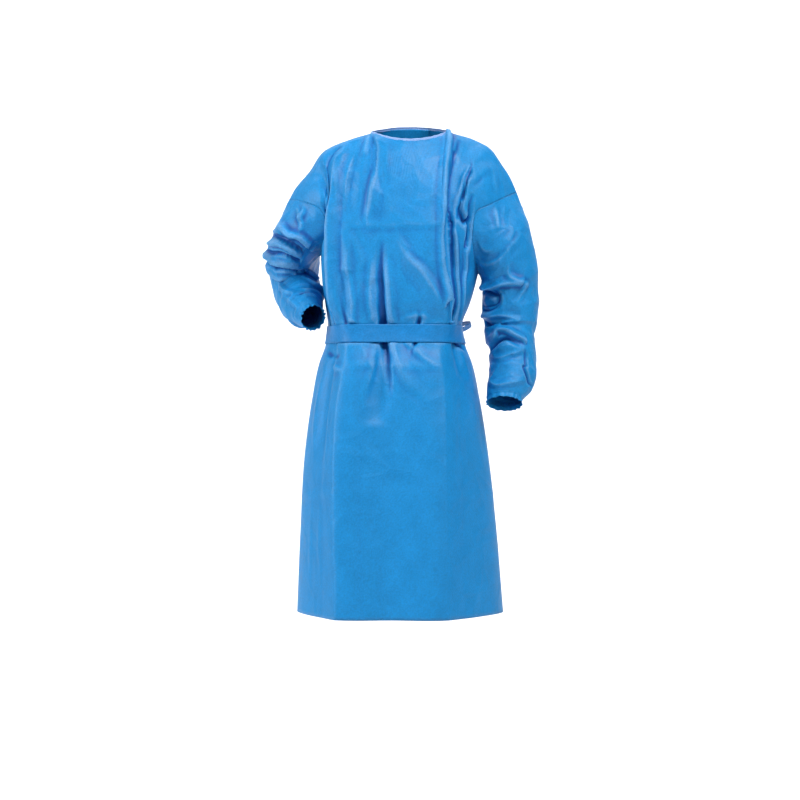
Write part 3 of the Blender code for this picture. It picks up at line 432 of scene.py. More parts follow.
def relief(points, normals, surface, creases, gain=1.0, narrow=1.0):
    """Height of creases placed on a grid: ridges above zero, troughs below it."""
    flat = points.reshape(-1, 3)
    flat_normals = normals.reshape(-1, 3)
    height = np.zeros(len(flat))
    for start, middle, end, right, left, line in creases:
        line = np.array(line, dtype=float)
        share = np.linspace(0.0, 1.0, CREASE_STEPS)
        places = smooth(np.linspace(0.0, 1.0, len(line)), line, share)
        path = surface(places[:, 0], places[:, 1])
        way = unit(np.gradient(path, axis=0))
        step = np.linalg.norm(np.diff(path, axis=0), axis=1).mean()
        margin = CREASE_REACH_WIDTHS * max(left, right) * MM
        close = np.all((flat > path.min(axis=0) - margin) & (flat < path.max(axis=0) + margin), axis=1)
        near = flat[close]
        if not len(near):
            continue
        square = ((near[:, None] - path[None]) ** 2).sum(axis=2)
        index = square.argmin(axis=1)
        delta = near - path[index]
        run = np.sum(delta * way[index], axis=1)
        inside = np.clip(run, -step / 2, step / 2)
        far = np.sqrt(np.maximum((delta ** 2).sum(axis=1) - inside ** 2, 0.0))
        side = np.sum(delta * np.cross(flat_normals[close], way[index]), axis=1)
        width = np.where(side > 0.0, left, right) * MM * narrow
        crest = np.sqrt(far ** 2 + CREST_ROUNDING ** 2) - CREST_ROUNDING
        at = np.clip((index + inside / step) / (CREASE_STEPS - 1), 0.0, 1.0)
        tall = start * (1.0 - at) * (1.0 - 2.0 * at) + middle * 4.0 * at * (1.0 - at)
        tall = tall + end * at * (2.0 * at - 1.0)
        facing = np.sum(flat_normals[close] * flat_normals[close][square[:, 0].argmin()], axis=1)
        tall *= abs(tall) / (abs(tall) + SMALL_CREASE)
        flank = np.clip(1.0 - crest / (FOOT_WIDTHS * width), 0.0, 1.0)
        flank = flank * (1.0 - FLANK_HOLLOW + FLANK_HOLLOW * flank)
        height[close] += gain * tall * MM * flank * (facing > LEAST_FACING)
    return height.reshape(points.shape[:2])


def unevenness(points, size, depth, stretch=(1.0, 1.0, 0.45), seed=0.0, crisp=0.5):
    """Gentle waves of cloth that hangs free, with now and then a sharper crest."""
    flat = points.reshape(-1, 3) / size * np.array(stretch) + seed
    soft = np.array([noise.noise(Vector(p)) for p in flat])
    crest = 1.0 - abs(np.array([noise.noise(Vector(p * 1.7 + 11.0)) for p in flat])) * 2.0
    return (depth * (soft + crisp * np.clip(crest, 0.0, 1.0) ** 3)).reshape(points.shape[:2])


def lengths(points):
    """Metres along each row and up each column, for the cloth's own UV."""
    across = np.linalg.norm(np.diff(points, axis=1), axis=2)
    up = np.linalg.norm(np.diff(points, axis=0), axis=2)
    u = np.concatenate((np.zeros((len(points), 1)), across.cumsum(axis=1)), axis=1)
    v = np.concatenate((np.zeros((1, points.shape[1])), up.cumsum(axis=0)), axis=0)
    return np.stack((u, v), axis=-1)


# Reach and depth scale of the fold value, which paints shade into troughs and highlights onto crests
FOLD_REACH = 5
FOLD_SHADE_DEPTH = 0.0020


def fold_shade(height):
    """How deep each place lies among its neighbours, kept as painted shade in troughs and painted highlights
    on crests: towards 1 in a trough, below 0 on a crest.
    """
    kernel = np.hanning(2 * FOLD_REACH + 3)[1:-1]
    around_it = height
    for axis in (0, 1):
        margin = [(FOLD_REACH, FOLD_REACH) if side == axis else (0, 0) for side in (0, 1)]
        padded = np.pad(around_it, margin, mode="edge")
        around_it = np.apply_along_axis(np.convolve, axis, padded, kernel / kernel.sum(), "valid")
    return np.clip((around_it - height) / FOLD_SHADE_DEPTH, -1.0, 1.0)


def as_object(name, mesh, material):
    """Smooth object of a finished mesh, in one material."""
    data = bpy.data.meshes.new(name)
    mesh.to_mesh(data)
    mesh.free()
    data.materials.append(material)
    data.shade_smooth()
    piece = bpy.data.objects.new(name, data)
    bpy.context.collection.objects.link(piece)
    return piece


SHELL = 0.0005


def shell(name, points, material, closed=False, seam=None, painted_fold_shade=None, thickness=SHELL, offset=-1.0):
    """Thin cloth through a grid of points, with its UV in metres, its seams marked, and painted shade and
    painted highlights along its folds.
    """
    rows, columns = points.shape[:2]
    mesh = bmesh.new()
    bmesh.ops.create_grid(mesh, x_segments=columns - 1, y_segments=rows - 1, size=1.0)
    mesh.verts.ensure_lookup_table()
    uv = mesh.loops.layers.uv.new("cloth")
    mark = mesh.verts.layers.float.new("seam")
    # This layer holds painted shade for the troughs and painted highlights for the crests
    depth = mesh.verts.layers.float.new("painted_fold_shade")
    places = lengths(points).reshape(-1, 2)
    marks = np.zeros(rows * columns) if seam is None else seam.ravel()
    folds = np.zeros(rows * columns) if painted_fold_shade is None else painted_fold_shade.ravel()
    for vertex, point, shade, deep in zip(mesh.verts, points.reshape(-1, 3), marks, folds):
        vertex.co = point
        vertex[mark] = shade
        vertex[depth] = deep
    for face in mesh.faces:
        for loop in face.loops:
            loop[uv].uv = places[loop.vert.index]
    if closed:
        bmesh.ops.remove_doubles(mesh, verts=mesh.verts, dist=1e-6)
    piece = as_object(name, mesh, material)
    solid = piece.modifiers.new("cloth thickness", "SOLIDIFY")
    solid.thickness = thickness
    solid.offset = offset
    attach(piece, "root")
    return piece


def add_node(tree, kind, settings, links):
    """New shader node with its values set and its inputs joined to other nodes' outputs."""
    made = tree.nodes.new("ShaderNode" + kind)
    for name, value in settings.items():
        if isinstance(name, int) or name in made.inputs:
            made.inputs[name].default_value = value
        else:
            setattr(made, name, value)
    for name, output in links.items():
        tree.links.new(output, made.inputs[name])
    return made.outputs


def nonwoven_group():
    """Fine look of spun nonwoven: bonded dots on the slant, cloudy fibres and small rumples, with painted
    shade in the folds' troughs and painted highlights on their crests.
    """
    group = bpy.data.node_groups.new("nonwoven cloth", "ShaderNodeTree")
    for name, way, kind in (("Colour", "INPUT", "Color"), ("Rumple", "INPUT", "Float"),
                            ("Colour", "OUTPUT", "Color"), ("Roughness", "OUTPUT", "Float"),
                            ("Normal", "OUTPUT", "Vector")):
        group.interface.new_socket(name, in_out=way, socket_type="NodeSocket" + kind)
    source = group.nodes.new("NodeGroupInput").outputs
    place = add_node(group, "TexCoord", {}, {})["Object"]
    cloth_uv = add_node(group, "UVMap", {"uv_map": "cloth"}, {})["UV"]
    turned = add_node(group, "Mapping", {"Rotation": (0.0, 0.0, 0.82)}, {"Vector": cloth_uv})["Vector"]
    dots = add_node(group, "TexWave", {"Scale": 62.0, "Distortion": 0.6}, {"Vector": turned})["Fac"]
    fibres = add_node(group, "TexNoise", {"Scale": 260.0, "Detail": 3.0}, {"Vector": place})["Fac"]
    clouds = add_node(group, "TexNoise", {"Scale": 26.0, "Detail": 4.0}, {"Vector": place})["Fac"]
    wander = add_node(group, "TexNoise", {"Scale": 9.0, "Detail": 1.0}, {"Vector": place})["Color"]
    bent = add_node(group, "VectorMath", {"operation": "MULTIPLY_ADD", 1: (0.10, 0.10, 0.10)},
                    {0: wander, 2: place})["Vector"]
    rumples = add_node(group, "TexVoronoi", {"feature": "DISTANCE_TO_EDGE", "Scale": 15.0},
                       {"Vector": bent})["Distance"]
    low = add_node(group, "Bump", {"invert": True, "Distance": 0.006},
                   {"Strength": source["Rumple"], "Height": rumples})["Normal"]
    middle = add_node(group, "Bump", {"Strength": 0.06, "Distance": 0.004},
                      {"Height": clouds, "Normal": low})["Normal"]
    fine = add_node(group, "Bump", {"Strength": 0.22, "Distance": 0.0006},
                    {"Height": dots, "Normal": middle})["Normal"]
    tone = add_node(group, "MapRange", {"From Min": 0.25, "From Max": 0.75, "To Min": 0.93, "To Max": 1.07},
                    {"Value": clouds})["Result"]
    grain = add_node(group, "MapRange", {"From Min": 0.3, "From Max": 0.7, "To Min": 0.87, "To Max": 1.13},
                     {"Value": fibres})["Result"]
    both = add_node(group, "Math", {"operation": "MULTIPLY"}, {0: tone, 1: grain})["Value"]
    seam = add_node(group, "Attribute", {"attribute_name": "seam"}, {})["Fac"]
    # The fold value carries painted shade for troughs and painted highlights for crests
    painted_fold_shade = add_node(group, "Attribute", {"attribute_name": "painted_fold_shade"}, {})["Fac"]
    dark = add_node(group, "Math", {"operation": "MULTIPLY_ADD", 1: -0.14}, {0: seam, 2: both})["Value"]
    # Painted shade: troughs are mixed towards a darker, deeper blue
    deep = add_node(group, "MapRange", {"To Max": 0.92}, {"Value": painted_fold_shade})["Result"]
    # Painted highlight: crests are mixed towards a pale blue that stands in for sheen
    painted_crest_highlight = add_node(group, "MapRange", {"From Min": -0.2, "From Max": -1.0, "To Max": 0.15},
                       {"Value": painted_fold_shade})["Result"]
    pale = add_node(group, "Mix", {"data_type": "RGBA", "B": (0.42, 0.60, 0.80, 1.0)},
                    {"Factor": painted_crest_highlight, "A": source["Colour"]})["Result"]
    painted_trough_colour = add_node(group, "VectorMath", {"operation": "MULTIPLY", 1: (0.0, 0.34, 0.60)},
                      {0: source["Colour"]})["Vector"]
    inner = add_node(group, "Mix", {"data_type": "RGBA"}, {"Factor": deep, "A": pale, "B": painted_trough_colour})["Result"]
    shade = add_node(group, "VectorMath", {"operation": "SCALE"}, {0: inner, "Scale": dark})["Vector"]
    rough = add_node(group, "MapRange", {"To Min": 0.42, "To Max": 0.58}, {"Value": clouds})["Result"]
    result = group.nodes.new("NodeGroupOutput").inputs
    for name, output in (("Colour", shade), ("Roughness", rough), ("Normal", fine)):
        group.links.new(output, result[name])
    return group


nonwoven = nonwoven_group()


def bare_finish(name):
    """New material, its node tree and the inputs of its shader."""
    material = bpy.data.materials.new(name)
    material.use_nodes = True
    return material, material.node_tree, material.node_tree.nodes["Principled BSDF"].inputs


def cloth_finish(name, colour, rumple=0.55, sheen=0.03):
    """Satin nonwoven in one colour, with painted shade and painted highlights along its folds."""
    material, tree, shader = bare_finish(name)
    look = add_node(tree, "Group", {"node_tree": nonwoven, "Colour": colour, "Rumple": rumple}, {})
    for output, value in (("Colour", "Base Color"), ("Roughness", "Roughness"), ("Normal", "Normal")):
        tree.links.new(look[output], shader[value])
    shader["Specular IOR Level"].default_value = 0.36
    shader["Sheen Weight"].default_value = sheen
    shader["Sheen Roughness"].default_value = 0.45
    shader["Sheen Tint"].default_value = (0.75, 0.86, 1.0, 1.0)
    return material


CLOTH_BLUE = (0.0015, 0.215, 0.530, 1.0)
cloth = cloth_finish("blue nonwoven", CLOTH_BLUE)

COLUMN_STEPS = 7
SKIRT_STEPS = 8
UPPER_STEPS = 10
skirt_rows = np.arange(0, SKIRT_ROWS * SKIRT_STEPS) / SKIRT_STEPS
upper_rows = SKIRT_ROWS + np.arange(0, (TOP_ROW - SKIRT_ROWS) * UPPER_STEPS + 1) / UPPER_STEPS
body_rows = np.concatenate((skirt_rows, upper_rows))
CALM_SHARE = 0.35
CALM_TOP_ROW = 8.0
CALM_FADE_ROWS = 2.0
BELT_HOLD_ROWS = 0.62
BELT_HOLD_FADE = 0.10


def columns_between(first, last):
    """Fine columns from one grid column to another."""
    return np.linspace(first, last, int(round((last - first) * COLUMN_STEPS)) + 1)


def unfolded(column, row):
    """Body without its largest folds, to lay creases on."""
    return body(column, row, folded=False)


def seam_marks(points, edges, width=0.0016, sink=0.0002):
    """Mask that is 1 at the given edges of a grid, and how far the cloth dips there."""
    far = lengths(points)
    u, v = far[..., 0], far[..., 1]
    gaps = {"first": u, "last": u[:, -1:] - u, "low": v, "top": v[-1:] - v}
    mask = np.zeros(points.shape[:2])
    for edge, span in edges:
        part_mask = np.zeros_like(mask)
        part_mask[span] = np.exp(-(gaps[edge][span] / width) ** 2)
        mask = np.maximum(mask, part_mask)
    return mask, mask * sink


def calm(rows):
    """Share of the waves that is left where the cloth hangs flat in the skirt."""
    return CALM_SHARE + (1.0 - CALM_SHARE) * smoothstep((rows - CALM_TOP_ROW) / CALM_FADE_ROWS)


def under_belt(height, rows):
    """Heights with the ridges flattened where the belt lies on them."""
    held = smoothstep((BELT_HOLD_ROWS - abs(rows - SKIRT_ROWS - 0.5)) / BELT_HOLD_FADE)[:, None]
    return np.where(height > 0.0, height * (1.0 - held), height)


FRONT_CREASES = (
    # start, middle and end height, width right and left of its way, places (column, row);
    # heights and widths in millimetres
    (2.0, 6.0, 2.5, 9, 22, ((13.3, 27), (13.4, 25.2), (13.2, 22.9), (12.7, 21.4), (12.3, 20), (12, 19.1))),
    (1.0, 5.0, 1.5, 14, 8, ((10.5, 24.2), (10.1, 23), (9.9, 22.1), (9.7, 21.1), (9.7, 20.3))),
    (2.0, 3.0, 0.0, 8, 8, ((11.9, 25.9), (11.6, 24), (11.3, 23.2))),
    (2.0, 9.0, 4.0, 8, 20, ((8, 23.8), (7.6, 22.2), (7.2, 20.7), (7.3, 19.3), (7.6, 17.6), (7.6, 16.1),
                            (7.4, 14.6), (6.8, 13.2))),
    (-3.0, -7.0, -2.0, 14, 14, ((8.3, 25.1), (6.4, 23.8), (5.2, 22.4), (4.8, 20.4), (5.0, 18.6),
                                (5.6, 17))),
    (1.0, 3.0, 2.0, 10, 12, ((2.2, 23.9), (2.6, 22), (2.6, 20), (3.2, 18), (4.4, 15.1))),
    (1.0, 1.8, 1.2, 9, 22, ((9.6, 18.4), (10.5, 18.8), (12.2, 18.8), (13.8, 19), (15.9, 19.3), (18.5, 19.2),
                            (19.6, 19.1))),
    (1.5, 3.0, 1.5, 26, 26, ((14.5, 26.2), (14.3, 23.9), (14.1, 21.9), (14.4, 20.5), (15.4, 19.7),
                             (17.3, 19.3))),
    (0.5, 5.0, 0.5, 24, 12, ((14.5, 18.8), (15.9, 17.5), (17.4, 16.3), (18.3, 14.6), (19.4, 12.9))),
    (1.5, 4.0, 7.0, 10, 12, ((9.5, 18.4), (9.9, 17.2), (10, 15.2), (9.9, 13.6), (9.3, 12.2))),
    (0.0, -4.0, -9.0, 6, 6, ((9.2, 15), (9.0, 13.5), (8.8, 12.1))),
    (0.5, 1.6, 0.3, 9, 9, ((10.4, 18.3), (11, 17.6), (11.5, 16.8), (11.1, 15.8), (10.8, 14.8))),
    (0.5, -7.0, -15.0, 9, 9, ((13.6, 18.6), (13.4, 17.3), (13.1, 15.3), (12.8, 13.7), (12.7, 12))),
    (0.5, 4.0, 5.0, 12, 7, ((12.5, 17.3), (12.4, 15.8), (12.1, 14.2), (12, 12.6))),
    (0.0, 3.0, 5.0, 7, 14, ((13.9, 17), (13.7, 15), (13.5, 12.4))),
    (5.0, 6.0, 9.0, 14, 5, ((20, 26.8), (20.3, 25), (20.4, 23.6), (20.4, 22.5), (20.4, 21.4), (20.4, 20.4),
                            (20.4, 19.1), (20.2, 17.7), (20.1, 16.2), (19.9, 14.4), (20.9, 12.2))),
    (-2.0, -11.0, -14.0, 6, 9, ((21.2, 25), (21.4, 22.5), (21.5, 20.5), (21.3, 18), (21.2, 16), (21.3, 14),
                               (21.9, 12.1))),
    (0.0, -5.0, 0.0, 6, 6, ((20.9, 23.9), (21.3, 23.2), (21.5, 22.6))),
    (0.0, 1.5, 1.0, 10, 8, ((18.4, 14.4), (18.9, 13.2), (20.2, 12.2))),
    (0.0, 2.5, 0.0, 8, 8, ((14.2, 12.3), (16.5, 12.7), (17.6, 12.3))),
    (-3.0, -11.0, -4.0, 6, 8, ((22.5, 24.5), (23.1, 23.8), (23.6, 23.1), (23.5, 22.2), (23.6, 21.6),
                               (22.9, 20.6),
                               (22.8, 19.9))),
    (-4.0, -8.0, -6.0, 7, 7, ((22.9, 20.4), (24.7, 20.2), (26.8, 21.2))),
    (-3.0, -8.0, -6.0, 7, 7, ((26.3, 22.4), (26.7, 21.8), (27, 21.2), (26.4, 20.1), (25, 18.8))),
    (2.0, 5.0, 2.0, 7, 6, ((21.9, 24.8), (22.4, 24.4), (22.5, 23), (22.2, 21.4), (21.9, 20.6))),
    (2.0, 5.0, 3.0, 7, 10, ((25, 18.8), (24.3, 17.8), (23.4, 16.1), (23.2, 14.2), (24, 12.6))),
    (1.0, 5.0, 1.0, 6, 8, ((21.1, 19.1), (22.1, 18.8), (22.2, 17.9), (22.1, 16.8), (22.1, 14.4))),
    (0.5, 1.8, 1.0, 6, 10, ((24.9, 25.6), (25.5, 25.2), (26.4, 24.8), (27.6, 24.4))),
    (0.5, -1.6, -0.8, 7, 7, ((25.3, 25.2), (25.4, 23.8), (25.5, 22.8))),
    (-14.0, -6.0, 0.0, 8, 10, ((12.7, 11), (13, 9.4), (13.6, 8.2), (14.2, 7.2))),
    (6.0, 4.0, 0.0, 10, 20, ((13.6, 10.9), (14.8, 9.1), (16.3, 8.1), (18.7, 7.5))),
    (4.0, 3.0, 0.0, 12, 10, ((12.1, 10.9), (11.5, 8.9), (10.8, 7.8), (10.9, 7))),
    (4.0, 6.0, 6.0, 40, 40, ((8.3, 11), (7.9, 8.9), (7.7, 7.7), (7.7, 6.2), (7.8, 4.7), (8, 3.2),
                             (8.1, 1.3), (8, 0))),
    (3.0, 4.5, 4.5, 40, 40, ((19.5, 11), (19.9, 9.4), (20.2, 8.8), (20.2, 7.5), (19.8, 5.4), (19.9, 3.2),
                             (20, 1.3), (20, 0))),
    (-8.0, -5.0, 0.0, 5, 6, ((23.5, 11), (25.1, 10.7), (26.6, 10.2))),
    (1.4, 1.8, 1.4, 9, 9, ((0.3, 3.8), (4.9, 3.9), (7.8, 4))),
    (0.6, 0.7, 0.6, 9, 9, ((7.8, 4), (14, 4), (20, 3.9))),
    (1.2, 1.5, 1.2, 9, 9, ((20.1, 3.9), (23, 3.9), (27.8, 3.9))),
    (1.2, 1.8, 1.4, 9, 14, ((8.2, 9.2), (11.5, 9.3), (14.8, 9.2), (19.7, 9.2))),
    (1.0, 4.0, 1.0, 6, 8, ((4.2, 9.4), (6.2, 9.1), (7.8, 8.9))),
    (1.0, -5.0, -2.0, 6, 8, ((2.4, 10.3), (4.2, 9.9), (6.6, 9.8))),
    (0.5, 2.2, 0.5, 12, 12, ((2.9, 8.7), (2.8, 7), (3.4, 5.2))),
    (0.5, 2.4, 0.5, 12, 9, ((6.3, 7.7), (6.1, 6.2), (6.2, 4.7))),
    (0.5, 1.8, 0.5, 9, 9, ((4.6, 8.8), (4.7, 7), (4.5, 5.0))),
    (0.5, 1.8, 0.5, 9, 12, ((5.4, 3.6), (5.3, 2.5), (5.6, 1.0))),
    (0.5, 1.6, 0.5, 12, 9, ((3.4, 3.4), (3.6, 2.0), (3.5, 0.8))),
    (3.0, 2.5, 0.5, 8, 12, ((15.6, 10.9), (17.7, 9.7), (20, 9.1))),
    (0.3, 1.5, 0.3, 9, 9, ((10.6, 6.4), (12.1, 6.5))),
    (0.3, 1.3, 0.3, 9, 9, ((12.4, 5.3), (13.5, 5.4), (15.7, 5.5))),
    (-5.0, -2.0, 0.0, 5, 6, ((16.4, 11), (16.2, 10.2), (15.8, 9.4))),
    (-5.0, -2.5, 0.0, 5, 6, ((5.2, 11), (5.5, 10.2), (5.3, 9.6))),
    (0.0, -3.0, -6.0, 5, 6, ((16.3, 13.4), (16.5, 12.6), (16.4, 12))),
    (0.0, -3.0, -6.0, 6, 6, ((5.8, 14.0), (5.4, 12.8), (5.5, 12))),
    (0.0, -3.0, -7.0, 6, 5, ((3.2, 15.0), (3.6, 13.4), (3.4, 12))),
)

SEAM_FLAT_COLUMNS = 0.7
TUCK_PLACE = (4.0, 21.6)
TUCK_SPREAD = (2.1, 2.6)
TUCK_CALM = 0.92
FRONT_CREASE_GAIN = 2.7
CREASE_NARROWING = 0.9
WAVE_SIZE = 0.075
WAVE_DEPTH = 0.0016
front_columns = columns_between(0, FRONT_COLUMNS)
front_points = grid_of(front_columns, body_rows, body)
front_way = outward(front_points)
front_height = relief(front_points, front_way, unfolded, FRONT_CREASES, FRONT_CREASE_GAIN, CREASE_NARROWING)
front_height += unevenness(front_points, WAVE_SIZE, WAVE_DEPTH) * calm(body_rows)[:, None]
shoulder = (front_columns <= RIGHT_NECK_COLUMN) | (front_columns >= LEFT_NECK_COLUMN)
front_seams, front_dip = seam_marks(front_points, (("first", np.s_[:, :]), ("last", np.s_[:, :]),
                                                   ("top", np.ix_(body_rows >= 0, shoulder))))
front_height = under_belt(front_height, body_rows)
from_side = np.minimum(front_columns, FRONT_COLUMNS - front_columns)
front_height *= smoothstep(from_side / SEAM_FLAT_COLUMNS)[None, :]

# Close to the right armhole the cloth turns too tightly for creases
tucked = np.exp(-((front_columns - TUCK_PLACE[0]) / TUCK_SPREAD[0]) ** 4)[None, :]
tucked = tucked * np.exp(-((body_rows - TUCK_PLACE[1]) / TUCK_SPREAD[1]) ** 4)[:, None]
front_height *= 1.0 - TUCK_CALM * tucked
front_points = front_points + front_way * (front_height - front_dip)[..., None]
# Painted shade in the creases' troughs and painted highlights on their crests, weaker where the skirt hangs
# calm
front_painted_fold_shade = fold_shade(front_height) * calm(body_rows)[:, None]
front = shell("front_panel", front_points, cloth, seam=front_seams, painted_fold_shade=front_painted_fold_shade)
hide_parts("front")


# Back panels: two pieces of the same nonwoven, sewn to the front at the sides and shoulders.
# They are open down the centre back, where the left one laps over the right one.
BACK_LAP_RISE = 0.0026
LAP_LEAD_COLUMNS = 3.0
LAP_RAMP_COLUMNS = 2.5
LEFT_BACK_EDGE = 12
RIGHT_BACK_EDGE = 10
BACK_CREASE_GAIN = 2.3
LAP_MARGIN_COLUMNS = 0.5
LAP_CREASE_SHARE = 0.35
FREE_EDGE_COLUMNS = 3.0
FREE_EDGE_WAVES = 0.3
HEM_MARK = 0.6
HEM_MARK_WIDTH = 0.0025


def lap_rise(back_column):
    """How far the left back stands out where it laps over the right back."""
    start = RIGHT_BACK_EDGE - LAP_LEAD_COLUMNS
    return BACK_LAP_RISE * smoothstep((back_column - start) / LAP_RAMP_COLUMNS)


LEFT_BACK_CREASES = (
    # start, middle and end height, width right and left of its way, places (column, row)
    (0.0, 5.0, 4.0, 12, 20, ((31.0, 26.0), (31.8, 23.0), (32.4, 20.0), (33.0, 17.0))),
    (-3.0, -9.0, -3.0, 9, 9, ((30.2, 24.5), (30.9, 22.0), (31.6, 19.5), (31.4, 17.5))),
    (0.0, 4.0, 1.0, 10, 14, ((34.5, 25.6), (34.2, 22.0), (34.8, 18.5), (34.2, 15.0))),
    (1.0, 2.0, 1.0, 9, 16, ((29.0, 19.0), (32.0, 19.2), (36.0, 19.1), (40.0, 19.2))),
    (0.0, -6.0, -13.0, 9, 9, ((34.6, 17.5), (34.0, 15.0), (34.2, 12.0))),
    (0.0, 4.0, 6.0, 9, 14, ((35.6, 16.5), (35.2, 14.0), (35.4, 12.0))),
    (0.0, -5.0, -10.0, 8, 8, ((37.4, 16.5), (37.0, 14.0), (37.4, 12.0))),
    (0.0, -5.0, -9.0, 7, 7, ((31.2, 15.5), (31.0, 13.5), (31.4, 12.0))),
    (-11.0, -6.0, 0.0, 9, 9, ((34.0, 11.0), (34.3, 9.0), (34.0, 6.6))),
    (5.0, 4.0, 0.0, 14, 10, ((35.3, 11.0), (35.8, 9.0), (36.0, 7.0))),
    (-9.0, -5.0, 0.0, 8, 8, ((37.0, 11.0), (36.9, 9.4), (37.3, 8.0))),
    (-7.0, -4.0, 0.0, 7, 7, ((31.0, 11.0), (30.6, 9.6), (30.8, 8.2))),
    (3.0, 5.0, 5.0, 34, 34, ((36.0, 9.5), (36.2, 7.0), (36.1, 4.0), (36.0, 0.0))),
    (1.2, 1.6, 1.2, 9, 9, ((28.4, 3.9), (33.0, 3.9), (39.8, 3.9))),
    (0.5, 2.4, 0.5, 12, 12, ((32.6, 8.0), (32.9, 5.5), (32.5, 3.2))),
    (0.5, 2.0, 0.5, 12, 9, ((38.6, 9.0), (38.4, 6.0), (38.8, 2.5))),
    (0.0, 3.0, 5.0, 16, 16, ((30.6, 4.6), (30.9, 2.0), (31.2, 0.0))),
)
RIGHT_BACK_CREASES = (
    # start, middle and end height, width right and left of its way, places (column, row)
    (0.0, 5.0, 4.0, 20, 12, ((51.2, 26.0), (50.4, 23.0), (49.4, 20.0), (48.6, 17.0))),
    (-3.0, -10.0, -3.0, 9, 9, ((52.0, 25.0), (51.2, 22.5), (50.4, 20.0), (50.2, 17.8))),
    (0.0, 5.0, 1.0, 14, 10, ((46.6, 25.4), (46.9, 22.0), (46.2, 18.5), (46.6, 15.0))),
    (0.0, 4.0, 0.0, 9, 9, ((43.4, 26.4), (43.9, 23.5), (43.4, 20.8))),
    (1.0, 2.0, 1.0, 9, 16, ((41.5, 19.2), (45.0, 19.1), (49.0, 19.2), (53.0, 19.0))),
    (0.0, -6.0, -13.0, 9, 9, ((46.2, 18.0), (46.6, 15.0), (45.8, 12.0))),
    (0.0, 4.0, 6.0, 14, 9, ((45.2, 16.5), (44.8, 14.0), (44.6, 12.0))),
    (0.0, -5.0, -10.0, 8, 8, ((42.8, 16.8), (43.1, 14.0), (42.6, 12.0))),
    (0.0, -5.0, -9.0, 7, 7, ((49.6, 15.5), (49.3, 13.5), (49.4, 12.0))),
    (-12.0, -6.0, 0.0, 9, 9, ((45.0, 11.0), (45.2, 8.6), (44.8, 6.0))),
    (5.0, 4.0, 0.0, 10, 14, ((46.2, 11.0), (46.6, 9.0), (47.0, 6.8))),
    (-9.0, -5.0, 0.0, 8, 8, ((42.4, 11.0), (42.6, 9.4), (42.2, 8.0))),
    (-8.0, -4.0, 0.0, 7, 7, ((49.2, 11.0), (49.4, 9.4), (49.0, 7.6))),
    (3.0, 5.0, 5.0, 34, 34, ((46.6, 9.5), (46.4, 7.0), (46.5, 4.0), (46.6, 0.0))),
    (1.2, 1.6, 1.2, 9, 9, ((41.0, 3.9), (46.0, 3.9), (53.6, 3.8))),
    (0.5, 2.4, 0.5, 12, 12, ((50.6, 8.0), (50.2, 5.5), (50.6, 3.0))),
    (0.5, 2.0, 0.5, 9, 12, ((43.6, 8.0), (43.4, 5.0), (43.7, 2.0))),
    (0.0, 3.0, 4.0, 16, 16, ((51.2, 4.6), (51.0, 2.0), (50.6, 0.0))),
)


def back_panel(name, first, last, creases, lapping, shoulder):
    """One back panel with its creases, its hemmed centre edge and its seams."""
    ends = ((first, "first"), (last, "last"))
    (side, side_edge), (open_side, open_edge) = ends if lapping else ends[::-1]
    columns = columns_between(FRONT_COLUMNS + first, FRONT_COLUMNS + last)
    columns[0] = max(columns[0], BACK_START)
    points = grid_of(columns, body_rows, body)
    way = outward(points)
    height = relief(points, way, unfolded, creases, BACK_CREASE_GAIN, CREASE_NARROWING)
    free = smoothstep(abs(columns - (FRONT_COLUMNS + open_side)) / FREE_EDGE_COLUMNS)
    rise = lap_rise(columns - FRONT_COLUMNS) if lapping else np.zeros(len(columns))
    over = (columns > FRONT_COLUMNS + RIGHT_BACK_EDGE - LAP_MARGIN_COLUMNS)
    over = over & (columns < FRONT_COLUMNS + LEFT_BACK_EDGE + LAP_MARGIN_COLUMNS)
    height = height * np.where(over, LAP_CREASE_SHARE, 1.0)[None, :]
    waves = unevenness(points, WAVE_SIZE, WAVE_DEPTH)
    height += waves * (FREE_EDGE_WAVES + (1.0 - FREE_EDGE_WAVES) * free)[None, :] * calm(body_rows)[:, None]
    height = under_belt(height, body_rows)
    height *= smoothstep(abs(columns - FRONT_COLUMNS - side) / SEAM_FLAT_COLUMNS)[None, :]
    on_shoulder = (columns >= FRONT_COLUMNS + shoulder[0]) & (columns <= FRONT_COLUMNS + shoulder[1])
    marks, dip = seam_marks(points, ((side_edge, np.s_[:, :]), ("top", np.ix_(body_rows >= 0, on_shoulder))))
    hem = seam_marks(points, ((open_edge, np.s_[:, :]),), width=HEM_MARK_WIDTH)[0]
    points = points + way * (height - dip + rise[None, :])[..., None]
    # The fold value paints shade into the troughs and highlights onto the crests
    piece = shell(name, points, cloth, seam=np.maximum(marks, HEM_MARK * hem),
                  painted_fold_shade=fold_shade(height) * calm(body_rows)[:, None])
    return piece


back_left = back_panel("back_panel_left", 0, LEFT_BACK_EDGE, LEFT_BACK_CREASES, True, (0, BACK_LEFT_NECK))
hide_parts("back_left")
back_right = back_panel("back_panel_right", RIGHT_BACK_EDGE, BACK_COLUMNS, RIGHT_BACK_CREASES, False,
                        (BACK_RIGHT_NECK, BACK_COLUMNS))
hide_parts("back_right")


